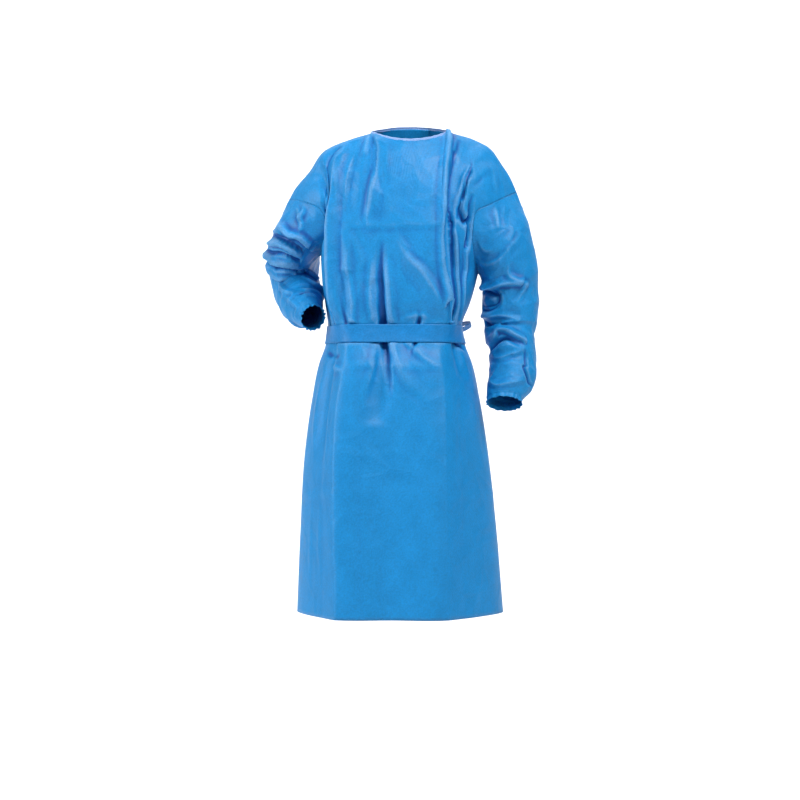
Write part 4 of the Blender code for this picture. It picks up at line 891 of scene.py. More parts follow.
# Sleeves: one piece of nonwoven each, sewn to a tube with its seam along the inner edge, and
# sewn to the panels at a dropped shoulder. The right one is bent, with stacked folds at its
# elbow, and the left one hangs.
LEFT_SLEEVE = (
    # outer_x, outer_y, outer_z, inner_x, inner_y, inner_z, half_depth
    (0.256, 0.000, -0.150, 0.163, 0.000, -0.345, 0.098),
    (0.281, 0.002, -0.215, 0.172, 0.004, -0.366, 0.088),
    (0.302, 0.006, -0.300, 0.173, 0.006, -0.396, 0.077),
    (0.312, 0.010, -0.377, 0.174, 0.010, -0.432, 0.072),
    (0.307, 0.008, -0.458, 0.177, 0.008, -0.476, 0.066),
    (0.299, -0.004, -0.505, 0.183, -0.004, -0.513, 0.060),
    (0.303, -0.020, -0.562, 0.189, -0.020, -0.556, 0.057),
    (0.296, -0.040, -0.612, 0.184, -0.040, -0.602, 0.052),
    (0.267, -0.058, -0.646, 0.181, -0.058, -0.640, 0.041),
)
RIGHT_SLEEVE = (
    # outer_x, outer_y, outer_z, inner_x, inner_y, inner_z, half_depth
    (-0.290, 0.010, -0.165, -0.2127, 0.020, -0.300, 0.098),
    (-0.316, 0.046, -0.212, -0.2260, 0.052, -0.308, 0.086),
    (-0.340, 0.096, -0.254, -0.2280, 0.108, -0.320, 0.079),
    (-0.352, 0.140, -0.292, -0.2280, 0.156, -0.350, 0.071),
    (-0.340, 0.128, -0.352, -0.2230, 0.138, -0.372, 0.066),
    (-0.325, 0.074, -0.386, -0.2160, 0.092, -0.392, 0.059),
    (-0.312, 0.024, -0.412, -0.2110, 0.046, -0.414, 0.052),
    (-0.290, -0.020, -0.438, -0.2090, 0.002, -0.428, 0.043),
    (-0.264, -0.046, -0.457, -0.2080, -0.028, -0.437, 0.033),
)
LEFT_SLEEVE_FOLDS = (
    # row, angle in turns from the inner edge through the front, half_length, half_turn, depth
    (6.5, 0.16, 1.4, 0.20, 0.009),
    (9.6, 0.38, 1.5, 0.24, 0.008),
    (12.2, 0.14, 1.3, 0.22, 0.010),
    (14.8, 0.30, 1.3, 0.30, 0.008),
    (17.2, 0.95, 1.3, 0.26, 0.011),
    (19.8, 0.25, 1.3, 0.26, 0.007),
    (12.4, 0.62, 1.4, 0.20, 0.007),
    (22.3, 0.70, 1.3, 0.24, 0.006),
    (22.0, 0.12, 1.2, 0.18, 0.006),
)
RIGHT_SLEEVE_FOLDS = (
    # row, angle in turns from the inner edge through the front, half_length, half_turn, depth
    (5.6, 0.34, 1.4, 0.24, 0.008),
    (8.4, 0.22, 1.4, 0.24, 0.012),
    (10.9, 0.30, 1.3, 0.26, 0.013),
    (13.4, 0.20, 1.2, 0.26, 0.013),
    (15.8, 0.36, 1.2, 0.26, 0.009),
    (18.4, 0.46, 1.3, 0.20, 0.008),
    (20.8, 0.30, 1.2, 0.22, 0.007),
    (22.8, 0.58, 1.2, 0.20, 0.006),
    (7.8, 0.78, 1.4, 0.18, 0.006),
)
SLEEVE_ROWS = 26
SLEEVE_START_ROWS = 4
SLEEVE_SETTLING_ROWS = 9
UNDERARM_LIFT = 0.9
SLEEVE_ROW_STEPS = 8
SLEEVE_TURN_STEPS = 9
SOFT_FOLD_SHARE = 0.6
SLEEVE_CREASE_GAIN = 2.6
SLEEVE_CREASE_NARROWING = 0.8
SLEEVE_WAVE_SIZE = 0.060
SLEEVE_WAVE_DEPTH = 0.0014
START_FADE_ROWS = 1.2
SLEEVE_ROUND = 0.40
SLEEVE_SEAM_WIDTH = 0.003
ARMHOLE_SEAM_WIDTH = 0.0022
FRONT_LEAN = -0.4
LEFT_SLEEVE_CREASES = (
    # start, middle and end height, width right and left of its way, places (row, turn)
    (2.0, 3.0, 0.0, 7, 7, ((0.4, 0.35), (1.4, 0.312), (2.2, 0.28))),
    (0.6, 2.4, 0.6, 5, 12, ((0.5, 0.2), (1.4, 0.175), (1.9, 0.181), (2.8, 0.219))),
    (0.6, 2.8, 0.8, 12, 6, ((0.2, 0.119), (1.4, 0.106), (2.8, 0.15), (3.5, 0.212), (3.6, 0.263),
                            (3.8, 0.356))),
    (0.3, 1.8, 0.3, 8, 5, ((2, 0.331), (2.8, 0.331), (3.1, 0.294), (3.1, 0.244))),
    (5.0, 8.0, 2.0, 6, 16, ((4.8, 0.03), (5.2, 0.06), (6.5, 0.125), (6.9, 0.188), (7.6, 0.244),
                            (8.6, 0.325))),
    (0.5, 4.0, 3.0, 10, 10, ((4, 0.25), (6, 0.231), (7.4, 0.269), (8.6, 0.325))),
    (3.0, 3.0, 0.0, 8, 8, ((8.6, 0.325), (10, 0.287), (10.9, 0.244))),
    (-3.0, -7.0, -3.0, 10, 8, ((6.9, 0.138), (8.8, 0.163), (9.6, 0.138), (9.1, 0.03))),
    (4.0, 4.0, 0.0, 7, 12, ((10.9, 0.02), (11.2, 0.1), (11.8, 0.2), (13.1, 0.275), (14.5, 0.294))),
    (3.0, 7.0, 4.0, 5, 14, ((16.8, 0.05), (16.1, 0.138), (15.5, 0.169), (16.1, 0.237), (17, 0.3),
                            (17.5, 0.356),
                            (16.4, 0.431))),
    (1.0, 4.0, 1.0, 18, 18, ((18.5, 0.12), (18, 0.2), (18.6, 0.3))),
    (-5.0, -6.0, -1.0, 7, 5, ((5.9, 0.03), (6.6, 0.08), (7.6, 0.14), (8.4, 0.20))),
    (-5.0, -5.0, -1.0, 6, 6, ((12.2, 0.03), (12.9, 0.10), (13.6, 0.18), (14.6, 0.23))),
    (-3.0, -6.0, -2.0, 6, 6, ((17.8, 0.05), (17.2, 0.13), (16.9, 0.21), (17.8, 0.28))),
    (-3.0, -5.0, -1.0, 5, 5, ((9.9, 0.03), (10.3, 0.10), (10.1, 0.18))),
    (1.0, 4.0, 2.0, 8, 10, ((20.9, 0.131), (23.4, 0.081), (25, 0.163), (24.5, 0.269), (23.5, 0.338))),
    (-2.0, -5.0, -2.0, 4, 5, ((18.6, 0.325), (20.8, 0.331), (21.5, 0.319), (23.4, 0.388), (23.6, 0.444))),
    (1.0, 4.0, 2.0, 8, 14, ((18.2, 0.05), (19.9, 0.125), (19.5, 0.219), (18.5, 0.319))),
    (1.0, 5.0, 1.0, 12, 6, ((3.0, 0.62), (4.2, 0.72), (4.4, 0.84), (3.6, 0.94))),
    (1.0, 6.0, 2.0, 6, 14, ((8.0, 0.58), (7.4, 0.68), (8.2, 0.78), (7.6, 0.90))),
    (1.0, 5.0, 1.0, 12, 6, ((11.6, 0.62), (12.4, 0.74), (11.8, 0.86))),
    (2.0, 6.0, 2.0, 6, 12, ((15.0, 0.60), (14.4, 0.72), (15.4, 0.86), (15.0, 0.96))),
    (1.0, 5.0, 1.0, 8, 12, ((18.4, 0.56), (19.2, 0.68), (18.6, 0.82))),
    (1.0, 4.0, 1.0, 9, 9, ((21.6, 0.60), (22.6, 0.74), (22.0, 0.88))),
)
RIGHT_SLEEVE_CREASES = (
    # start, middle and end height, width right and left of its way, places (row, turn)
    (0.5, 4.0, 3.0, 6, 8, ((0.2, 0.375), (0.6, 0.35), (1.4, 0.331))),
    (3.0, 3.0, 0.5, 6, 6, ((1.4, 0.331), (0.9, 0.37), (0.6, 0.412))),
    (3.0, 3.0, 0.5, 6, 8, ((1.4, 0.331), (1.8, 0.294), (2.4, 0.269))),
    (3.0, 8.0, 3.0, 5, 14, ((3.2, 0.40), (3, 0.356), (2.9, 0.294), (2.5, 0.25), (2.2, 0.169),
                            (2.1, 0.094))),
    (1.0, 4.0, 0.0, 6, 8, ((4.4, 0.425), (3.4, 0.38), (3.2, 0.33))),
    (3.0, 9.0, 5.0, 5, 12, ((6.5, 0.46), (5.5, 0.42), (4.2, 0.325), (3.8, 0.287), (3.5, 0.231),
                            (3.3, 0.175),
                            (3.2, 0.081))),
    (3.0, 8.0, 4.0, 5, 10, ((8.6, 0.47), (7.5, 0.43), (5.8, 0.30), (5.0, 0.225), (4.6, 0.156),
                            (4.6, 0.08))),
    (2.0, 7.0, 3.0, 6, 9, ((10.2, 0.46), (9.0, 0.38), (7.6, 0.29), (6.6, 0.18), (6.4, 0.06))),
    (2.0, 7.0, 3.0, 6, 9, ((11.4, 0.44), (10.8, 0.34), (9.6, 0.24), (8.8, 0.12))),
    (3.0, 7.0, 3.0, 6, 10, ((13.2, 0.46), (13.4, 0.388), (13.5, 0.344), (12.9, 0.275), (12.2, 0.15))),
    (-2.0, -7.0, -4.0, 6, 5, ((4.6, 0.44), (3.9, 0.37), (3.4, 0.30), (3.0, 0.20), (2.7, 0.08))),
    (-2.0, -8.0, -5.0, 6, 5, ((7.5, 0.46), (6.6, 0.42), (4.9, 0.31), (4.2, 0.22), (3.9, 0.08))),
    (-2.0, -8.0, -5.0, 6, 5, ((9.5, 0.47), (8.2, 0.41), (6.7, 0.30), (5.7, 0.20), (5.4, 0.07))),
    (-2.0, -7.0, -4.0, 6, 5, ((10.8, 0.45), (9.9, 0.36), (8.6, 0.27), (7.6, 0.15), (7.3, 0.07))),
    (-2.0, -7.0, -4.0, 6, 5, ((12.3, 0.46), (12.1, 0.36), (11.3, 0.26), (10.4, 0.14))),
    (-2.0, -5.0, -2.0, 5, 5, ((14.9, 0.40), (15.0, 0.30), (14.4, 0.20), (14.5, 0.08))),
    (3.0, 7.0, 4.0, 5, 10, ((14.1, 0.44), (15.4, 0.34), (16.5, 0.269), (16, 0.219), (16.6, 0.15),
                            (16.4, 0.05))),
    (2.0, 6.0, 3.0, 6, 9, ((17.9, 0.236), (19.2, 0.163), (18.8, 0.09), (18.9, 0.03))),
    (2.0, 4.0, 2.0, 8, 8, ((15, 0.44), (16.9, 0.431), (19.2, 0.412), (21.5, 0.356), (22.2, 0.419))),
    (1.0, 3.0, 2.0, 6, 8, ((18.1, 0.45), (20.6, 0.425), (22.8, 0.4), (24.9, 0.394), (25, 0.481))),
    (1.0, 4.0, 1.0, 6, 8, ((20.6, 0.30), (21.4, 0.22), (21.2, 0.12), (22.0, 0.04))),
    (1.0, 3.0, 1.0, 7, 7, ((23.4, 0.30), (23.0, 0.20), (23.8, 0.10))),
    (0.0, -4.0, 0.0, 6, 6, ((22.6, 0.34), (22.2, 0.26), (22.6, 0.18))),
    (1.0, 5.0, 1.0, 12, 8, ((2.4, 0.60), (3.4, 0.70), (3.0, 0.84))),
    (1.0, 5.0, 1.0, 10, 8, ((6.4, 0.56), (7.2, 0.68), (6.6, 0.82))),
    (1.0, 4.0, 1.0, 8, 10, ((13.6, 0.56), (14.4, 0.70), (14.0, 0.84))),
    (1.0, 5.0, 1.0, 8, 10, ((17.0, 0.56), (17.8, 0.66), (17.2, 0.80), (17.8, 0.92))),
    (1.0, 4.0, 1.0, 8, 8, ((21.0, 0.58), (21.6, 0.72), (21.2, 0.88))),
)


sleeve_cloth = cloth_finish("sleeve nonwoven", CLOTH_BLUE, rumple=1.15)


def edge_of(side, back):
    """Column of a side's armhole and the next column into the panel."""
    if side == "right":
        return (AROUND, AROUND - 1.0) if back else (0.0, 1.0)
    return (BACK_START, BACK_START + 1.0) if back else (FRONT_COLUMNS, FRONT_COLUMNS - 1.0)


def armhole_loop(side):
    """Fine loop round an armhole, the way into the panels there and their outward direction."""
    rows = np.linspace(UNDERARM_ROW, TOP_ROW, ARMHOLE_ROWS * SLEEVE_TURN_STEPS + 1)
    parts = []
    for back in (False, True):
        first, second = edge_of(side, back)
        column = np.full(len(rows), first)
        edge = body(column, rows)
        into = body(np.full(len(rows), second), rows) - edge
        low, high = panel_limits(column)
        out = face_normal(body, column, rows, low, high)
        parts.append((edge, into, out))
    return [np.concatenate((front_part, back_part[-2::-1])) for front_part, back_part in zip(*parts)]


def sleeve_grid(table, folds, loop, seam_way, panel_normal):
    """Fine grid of a sleeve from the armhole to its end."""
    table = np.array(table)
    rows = np.linspace(0.0, SLEEVE_ROWS, SLEEVE_ROWS * SLEEVE_ROW_STEPS + 1)
    values = smooth(np.linspace(0, SLEEVE_ROWS, len(table)), table, rows)
    outer, inner, half_depth = values[:, :3], values[:, 3:6], values[:, 6]
    centre = (outer + inner) / 2
    arm = (outer - inner) / 2
    way = unit(np.gradient(centre, axis=0))
    front_side = unit(np.cross(arm, way))
    front_side = front_side * np.sign(-(front_side @ np.array([0.0, 1.0, FRONT_LEAN])))[:, None]
    settled = smoothstep(rows / SLEEVE_SETTLING_ROWS)[:, None]
    front_side = unit(front_side * settled + np.array([0.0, -1.0, 0.0]) * (1.0 - settled))
    turns = np.linspace(0.0, 1.0, len(loop))
    angle = 2.0 * np.pi * turns
    depth = np.zeros((len(rows), len(turns)))
    for fold_row, fold_turn, half_length, half_turn, deep in folds:
        apart = abs(np.mod(turns - fold_turn + 0.5, 1.0) - 0.5) / half_turn
        length = (rows - fold_row) / half_length
        across = np.clip(1.0 - apart ** 2, 0.0, 1.0)[None, :]
        depth += deep * across * np.clip(1.0 - length ** 2, 0.0, 1.0)[:, None]
    radial = -arm[:, None] * np.cos(angle)[None, :, None]
    radial = radial + (front_side * half_depth[:, None])[:, None] * np.sin(angle)[None, :, None]
    points = centre[:, None] + radial - unit(radial) * depth[:, :, None] * SOFT_FOLD_SHARE
    start = SLEEVE_START_ROWS * SLEEVE_ROW_STEPS
    end = points[start]
    end_slope = (points[start + 1] - points[start]) * start
    reach = end - loop
    follow = np.clip(np.sum(unit(reach) * seam_way, axis=1), 0.0, 1.0)[:, None]
    clear = panel_normal * (UNDERARM_LIFT * np.clip(np.cos(angle), 0.0, 1.0))[:, None]
    leave = unit(unit(reach) * (1.05 - follow) + seam_way * follow + clear)
    leave = leave * np.linalg.norm(reach, axis=1)[:, None]
    for i in range(start):
        points[i] = hermite(loop, leave, end, end_slope, i / start)
    points[:, -1] = points[:, 0]
    return rows, turns, points


def sleeve_way(points):
    """Outward directions of a sleeve's grid."""
    way = outward(points, closed=True)
    probe = len(points) // 2
    if np.sum(way[probe] * (points[probe] - points[probe].mean(axis=0))) < 0.0:
        way = -way
    way[:, -1] = way[:, 0]
    return way


def read_grid(rows, turns, points):
    """Surface of a sleeve as a function of row and turn, between its grid's points."""
    def surface(row, turn):
        i = np.clip(row / rows[-1] * (len(rows) - 1), 0, len(rows) - 1.001)
        j = np.clip(turn * (len(turns) - 1), 0, len(turns) - 1.001)
        a, b = i.astype(int), j.astype(int)
        s, t = (i - a)[:, None], (j - b)[:, None]
        low = points[a, b] * (1.0 - t) + points[a, b + 1] * t
        high = points[a + 1, b] * (1.0 - t) + points[a + 1, b + 1] * t
        return low * (1.0 - s) + high * s
    return surface


def sleeve(side, table, folds, creases):
    """One sleeve with its stacked folds, its armhole seam and its own seam."""
    loop, into, panel_out = armhole_loop(side)
    rows, turns, points = sleeve_grid(table, folds, loop, -unit(into), panel_out)
    way = sleeve_way(points)
    surface = read_grid(rows, turns, points)
    height = relief(points, way, surface, creases, SLEEVE_CREASE_GAIN, SLEEVE_CREASE_NARROWING)
    height += unevenness(points, SLEEVE_WAVE_SIZE, SLEEVE_WAVE_DEPTH, stretch=(1.0, 1.0, 1.0),
                         seed=5.0, crisp=0.6)
    height = height * (smoothstep(rows / START_FADE_ROWS) * smoothstep(SLEEVE_ROWS - rows))[:, None]
    from_seam = np.minimum(turns, 1.0 - turns) * SLEEVE_ROUND
    seam = np.exp(-(from_seam / SLEEVE_SEAM_WIDTH) ** 2)[None, :] * np.ones((len(rows), 1))
    seam = np.maximum(seam, np.exp(-(lengths(points)[..., 1] / ARMHOLE_SEAM_WIDTH) ** 2))
    points = points + way * height[..., None]
    points[:, -1] = points[:, 0]
    # Painted shade in the troughs of the sleeve's folds and painted highlights on their crests
    deep = fold_shade(height)
    if side == "left":
        points, seam, deep = points[:, ::-1], seam[:, ::-1], deep[:, ::-1]
    piece = shell("worn_sleeve_" + side, points, sleeve_cloth, closed=True, seam=seam, painted_fold_shade=deep)
    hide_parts("sleeve_" + side)
    return points


left_sleeve_points = sleeve("left", LEFT_SLEEVE, LEFT_SLEEVE_FOLDS, LEFT_SLEEVE_CREASES)
right_sleeve_points = sleeve("right", RIGHT_SLEEVE, RIGHT_SLEEVE_FOLDS, RIGHT_SLEEVE_CREASES)


# Sleeve ends: the last of the sleeve's cloth, turned over a band of elastic that is sewn in.
# It gathers the cloth into small uneven waves all round.
CUFF_GATHERS = 16
CUFF_LENGTH = 0.015
CUFF_END_INSET = 0.02
CUFF_NARROWING = 0.03
CUFF_WAVE = 0.0022
CUFF_STEPS = 12
CUFF_ROWS = 9
CUFF_THICKNESS = 0.0008
CUFF_STITCH_PLACE = 0.15
CUFF_STITCH_WIDTH = 0.12
CUFF_STITCH_MARK = 0.5
AXIS_PROBE_ROWS = 20


def cuff(side, sleeve_points):
    """Gathered end of one sleeve."""
    last = sleeve_points[-1, :-1]
    centre = last.mean(axis=0)
    axis = unit(np.cross(last[len(last) // 4] - centre, last[0] - centre))
    if axis @ (centre - sleeve_points[-AXIS_PROBE_ROWS, :-1].mean(axis=0)) < 0:
        axis = -axis
    count = CUFF_GATHERS * CUFF_STEPS
    place = np.linspace(0.0, len(last), count + 1)
    ring_points = smooth(np.arange(len(last) + 5) - 2.0, np.concatenate((last[-2:], last, last[:3])), place)
    radial = unit(ring_points - centre)
    turn = place / len(last)
    wave = np.cos(2.0 * np.pi * (CUFF_GATHERS * turn + 0.25 * np.sin(2.0 * np.pi * 3.0 * turn)))
    wave = wave * (0.75 + 0.45 * np.sin(2.0 * np.pi * 5.0 * turn + 1.0))
    rings = []
    for share in np.linspace(0.0, 1.0, CUFF_ROWS + 1):
        inset = CUFF_END_INSET + CUFF_NARROWING * np.sin(np.pi * share)
        swell = CUFF_WAVE * (0.25 + 0.75 * abs(np.cos(np.pi * share)))
        points = ring_points + (centre - ring_points) * inset * smoothstep(share * 4.0)
        points = points + radial * (wave * swell * smoothstep(share * 3.0))[:, None]
        rings.append(points + axis * CUFF_LENGTH * share)
    points = np.array(rings)
    points[:, -1] = points[:, 0]
    from_stitch = (np.linspace(0.0, 1.0, CUFF_ROWS + 1) - CUFF_STITCH_PLACE) / CUFF_STITCH_WIDTH
    seam = np.exp(-from_stitch ** 2)[:, None] * np.ones((1, count + 1)) * CUFF_STITCH_MARK
    piece = shell("sleeve_end_" + side, points, cloth, closed=True, seam=seam, offset=0.0,
                  thickness=CUFF_THICKNESS)
    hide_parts("cuff_" + side)


cuff("left", left_sleeve_points)
cuff("right", right_sleeve_points)


# Neck binding: a narrow pale strip folded over the neck edge and overlocked with whitish
# thread. It is open at the centre back.
BINDING_WIDTH = 0.0050
BINDING_RISE = 0.35
BINDING_STEPS = 10
BINDING_UNDER = 0.35
BINDING_BULGE = 0.0009
BINDING_RIPPLE = 0.0005
BINDING_THICKNESS = 0.0012
SMOOTHING_ROUNDS = 6


def binding_finish():
    """Pale lavender blue strip with whitish overlock thread across it."""
    material, tree, shader = bare_finish("neck binding")
    shader["Roughness"].default_value = 0.7
    cloth_uv = add_node(tree, "UVMap", {"uv_map": "cloth"}, {})["UV"]
    threads = add_node(tree, "TexWave", {"Scale": 95.0, "Distortion": 2.5, "Detail Scale": 3.0},
                       {"Vector": cloth_uv})["Fac"]
    tone = add_node(tree, "Mix", {"data_type": "RGBA", "A": (0.09, 0.26, 0.62, 1.0),
                                  "B": (0.34, 0.46, 0.74, 1.0)}, {"Factor": threads})["Result"]
    bump = add_node(tree, "Bump", {"Strength": 0.4, "Distance": 0.001}, {"Height": threads})["Normal"]
    tree.links.new(tone, shader["Base Color"])
    tree.links.new(bump, shader["Normal"])
    return material


def neck_line():
    """Neck edge from the centre back over the front to the centre back, with its directions."""
    count_right = (BACK_RIGHT_NECK - LEFT_BACK_EDGE) * BINDING_STEPS
    count_left = (LEFT_BACK_EDGE - BACK_LEFT_NECK) * BINDING_STEPS
    count_front = (LEFT_NECK_COLUMN - RIGHT_NECK_COLUMN) * BINDING_STEPS
    columns = np.concatenate((
        FRONT_COLUMNS + np.linspace(LEFT_BACK_EDGE, BACK_RIGHT_NECK, count_right, endpoint=False),
        np.linspace(RIGHT_NECK_COLUMN, LEFT_NECK_COLUMN, count_front + 1),
        FRONT_COLUMNS + np.linspace(BACK_LEFT_NECK, LEFT_BACK_EDGE, count_left + 1)[1:]))
    rows = np.full(len(columns), float(TOP_ROW))
    low, high = panel_limits(columns)
    normal = face_normal(body_base, columns, rows, low, high)
    for _ in range(SMOOTHING_ROUNDS):
        normal[1:-1] = unit(normal[:-2] + 2.0 * normal[1:-1] + normal[2:])
    lapping = (columns > FRONT_COLUMNS) * (np.arange(len(columns)) > count_right)
    rise = lap_rise(columns - FRONT_COLUMNS) * lapping
    return body(columns, rows) + normal * rise[:, None], normal


neck_edge, neck_out = neck_line()
neck_way = unit(np.cross(neck_out, np.gradient(neck_edge, axis=0)))
neck_rise = unit(neck_way + np.array([0.0, 0.0, BINDING_RISE]))
strips = []
for share in np.linspace(-BINDING_UNDER, 1.0, 9):
    bulge = BINDING_BULGE * np.sin(np.pi * (share + BINDING_UNDER) / (1.0 + BINDING_UNDER))
    ripple = BINDING_RIPPLE * np.sin(np.arange(len(neck_edge)) * 0.9)
    strips.append(neck_edge + neck_rise * BINDING_WIDTH * share + neck_out * (bulge + ripple)[:, None])
binding = shell("binding_strip", np.array(strips), binding_finish(), thickness=BINDING_THICKNESS, offset=0.0)
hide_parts("neck_binding")


# Neck fastening: a strip of hook and loop tape on the outside of the left back, under the
# neck edge.
TAB_COLUMNS = (9.2, 11.8)
TAB_ROWS = (26.15, 26.75)
TAB_STAND_OFF = 0.0022
TAB_THICKNESS = 0.0010


def on_left_back(rise):
    """Surface that lies on the left back at a small distance."""
    def surface(column, row):
        return body(column, row, rise + lap_rise(column - FRONT_COLUMNS))
    return surface


tab_points = grid_of(FRONT_COLUMNS + np.linspace(*TAB_COLUMNS, 40), np.linspace(*TAB_ROWS, 12),
                     on_left_back(TAB_STAND_OFF))
tab_cloth = cloth_finish("hook and loop tape", (0.10, 0.30, 0.66, 1.0), rumple=0.02, sheen=0.5)
tab = shell("neck_fastening", tab_points, tab_cloth, thickness=TAB_THICKNESS)
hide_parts("neck_tab")


# Waist belt: one long strip of the same nonwoven, its edges turned in and sewn. It goes
# round the waist over the gown and is tied in a bow at the back.
BELT_INSET = 0.0008
BELT_RISE = 0.0026
BELT_COLUMN_STEPS = 6
BELT_ROWS = 13
BELT_THICKNESS = 0.0008
BELT_LEAST_HEIGHT = -0.0006
BELT_STITCH_PLACE = 0.06
BELT_STITCH_WIDTH = 0.05
BELT_STITCH_MARK = 0.4
belt_cloth = cloth_finish("belt nonwoven", (0.0010, 0.185, 0.490, 1.0), rumple=0.15, sheen=0.02)


def band(column, row):
    """Belt's outer face round the waist."""
    behind = column > FRONT_COLUMNS
    rise = lap_rise(column - FRONT_COLUMNS) * behind
    past = smoothstep((column - FRONT_COLUMNS - LEFT_BACK_EDGE - 0.5) / LAP_RAMP_COLUMNS)
    return body(column, row, rise * (1.0 - past) + BELT_RISE, folded=False)


BELT_CREASES = (
    # start, middle and end height, width right and left of its way, places (column, row)
    (0.0, 1.2, 0.0, 5, 8, ((9.0, 11.2), (11.5, 11.5), (14.5, 11.7))),
    (0.0, 1.4, 0.0, 8, 5, ((15.0, 11.8), (18.0, 11.5), (21.0, 11.3))),
    (0.0, 1.0, 0.0, 5, 5, ((21.4, 11.2), (22.0, 11.5), (22.4, 11.8))),
    (0.0, 1.5, 0.0, 6, 6, ((2.0, 11.3), (4.0, 11.6), (6.0, 11.4))),
    (0.0, 1.5, 0.0, 6, 6, ((30.0, 11.4), (33.0, 11.6), (36.0, 11.5))),
    (0.0, 1.5, 0.0, 6, 6, ((42.0, 11.5), (45.0, 11.3), (49.0, 11.6))),
)
belt_columns = np.linspace(0.0, AROUND, AROUND * BELT_COLUMN_STEPS + 1)
belt_columns[FRONT_COLUMNS * BELT_COLUMN_STEPS] += 1e-9
belt_points = grid_of(belt_columns, np.linspace(SKIRT_ROWS, BELT_TOP_ROW, BELT_ROWS), band)
belt_points[:, -1] = belt_points[:, 0]
belt_points[0, :, 2] += BELT_INSET
belt_points[-1, :, 2] -= BELT_INSET
belt_way = outward(belt_points, closed=True)
belt_height = relief(belt_points, belt_way, band, BELT_CREASES)
belt_height += unevenness(belt_points, 0.045, 0.0008, stretch=(1.0, 1.0, 1.6), seed=9.0)
belt_points = belt_points + belt_way * np.maximum(belt_height, BELT_LEAST_HEIGHT)[..., None]
belt_points[:, -1] = belt_points[:, 0]
from_stitch = (np.linspace(0.0, 1.0, BELT_ROWS) - BELT_STITCH_PLACE) / BELT_STITCH_WIDTH
belt_seam = np.exp(-from_stitch ** 2)[:, None] * np.ones((1, len(belt_columns))) * BELT_STITCH_MARK
belt = shell("belt_band", belt_points, belt_cloth, closed=True, seam=belt_seam, thickness=BELT_THICKNESS)
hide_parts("belt")


# Belt's knot: the strip wound round itself and pulled tight.
KNOT_COLUMN = 38.7
KNOT_SIZE = (0.034, 0.026, 0.034)
KNOT_CLEARANCE = 0.0020
KNOT_BOX_SHARE = 0.55
KNOT_PINCH = 0.18
WALL = 0.0015
knot_column = np.array([KNOT_COLUMN])
knot_row = np.array([SKIRT_ROWS + 0.5])
knot_low, knot_high = panel_limits(knot_column)
knot_out = face_normal(body_base, knot_column, knot_row, knot_low, knot_high)[0]
knot_rise = KNOT_CLEARANCE + WALL + lap_rise(knot_column - FRONT_COLUMNS)[0] + KNOT_SIZE[1] / 2
knot_centre = body(knot_column, knot_row, knot_rise, folded=False)[0]
knot_side = unit(np.cross([0.0, 0.0, 1.0], knot_out))
knot_up = np.cross(knot_out, knot_side)
mesh = bmesh.new()
bmesh.ops.create_cube(mesh, size=1.0)
bmesh.ops.subdivide_edges(mesh, edges=mesh.edges, cuts=31, use_grid_fill=True)
for vertex in mesh.verts:
    local = np.array(vertex.co)
    mixed = local * KNOT_BOX_SHARE + unit(local) * 0.5 * (1.0 - KNOT_BOX_SHARE)
    waist = 1.0 - KNOT_PINCH * np.exp(-(local[2] / KNOT_PINCH) ** 2)
    wound = 1.0 + 0.05 * np.sin(local[0] * 26.0 + local[2] * 9.0 + 2.0 * np.sin(local[2] * 5.0))
    wound += 0.04 * noise.noise(Vector(local * 7.0))
    size = np.array(KNOT_SIZE) * mixed * wound
    vertex.co = knot_centre + knot_side * size[0] * waist + knot_out * size[1] + knot_up * size[2]
bmesh.ops.recalc_face_normals(mesh, faces=mesh.faces)
knot = as_object("tied_knot", mesh, belt_cloth)
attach(knot, "root")
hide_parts("belt_knot")


# Bow loops: the belt runs out of the knot, turns and comes back into it.
LOOP_LENGTH = 0.116
LOOP_HEIGHT = 0.012
LOOP_THROAT = 0.010
LOOP_WIDTH = 0.026
LOOP_STAND_OFF = 0.010
LOOP_SEAT = {"belt_loop_left": 0.0017, "belt_loop_right": 0.0029}
LOOP_CLIMB = {"belt_loop_left": 0.026, "belt_loop_right": -0.016}
LOOP_STEPS = 120
LOOP_ACROSS = 11
LOOP_THICKNESS = 0.0006


def bow_loop(name, node, direction):
    """One loop of the bow."""
    side = knot_side * direction
    start = knot_centre + side * (KNOT_SIZE[0] / 2 + 0.0003 - LOOP_SEAT[node])
    t = np.linspace(0.0, 1.0, LOOP_STEPS + 1)
    reach = LOOP_LENGTH * (1.0 - np.cos(2.0 * np.pi * t)) / 2
    spread = LOOP_HEIGHT * np.sin(2.0 * np.pi * t) * (0.35 + 0.65 * reach / LOOP_LENGTH) / 1.4
    spread = spread + LOOP_THROAT * np.cos(np.pi * t) * 0.25
    droop = LOOP_CLIMB[node] * (reach / LOOP_LENGTH) ** 1.5
    up = np.array([0.0, 0.0, 1.0])
    middle = start + np.outer(reach + 0.0006, side) + np.outer(spread * 0.45, knot_out)
    middle = middle + np.outer(spread * 0.9 + droop + 0.002, up)
    width = LOOP_WIDTH * (0.35 + 0.65 * np.sin(np.pi * t) ** 0.6)
    tilt = unit(knot_out * 0.9 - up * 0.45)
    across = np.linspace(-0.5, 0.5, LOOP_ACROSS)
    middle = middle + knot_out * LOOP_STAND_OFF
    points = np.array([middle + tilt * (width * share)[:, None] for share in across])
    way = outward(points)
    gathers = np.sin(across * 20.0)[:, None] * (1.0 - np.sin(np.pi * t) ** 0.5)[None, :] * 0.0012
    points = points + way * (gathers + unevenness(points, 0.03, 0.0010, seed=3.0))[..., None]
    piece = shell(name, points, belt_cloth, thickness=LOOP_THICKNESS, offset=1.0)
    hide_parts(node)


bow_loop("bow_loop_left", "belt_loop_left", -1.0)
bow_loop("bow_loop_right", "belt_loop_right", 1.0)


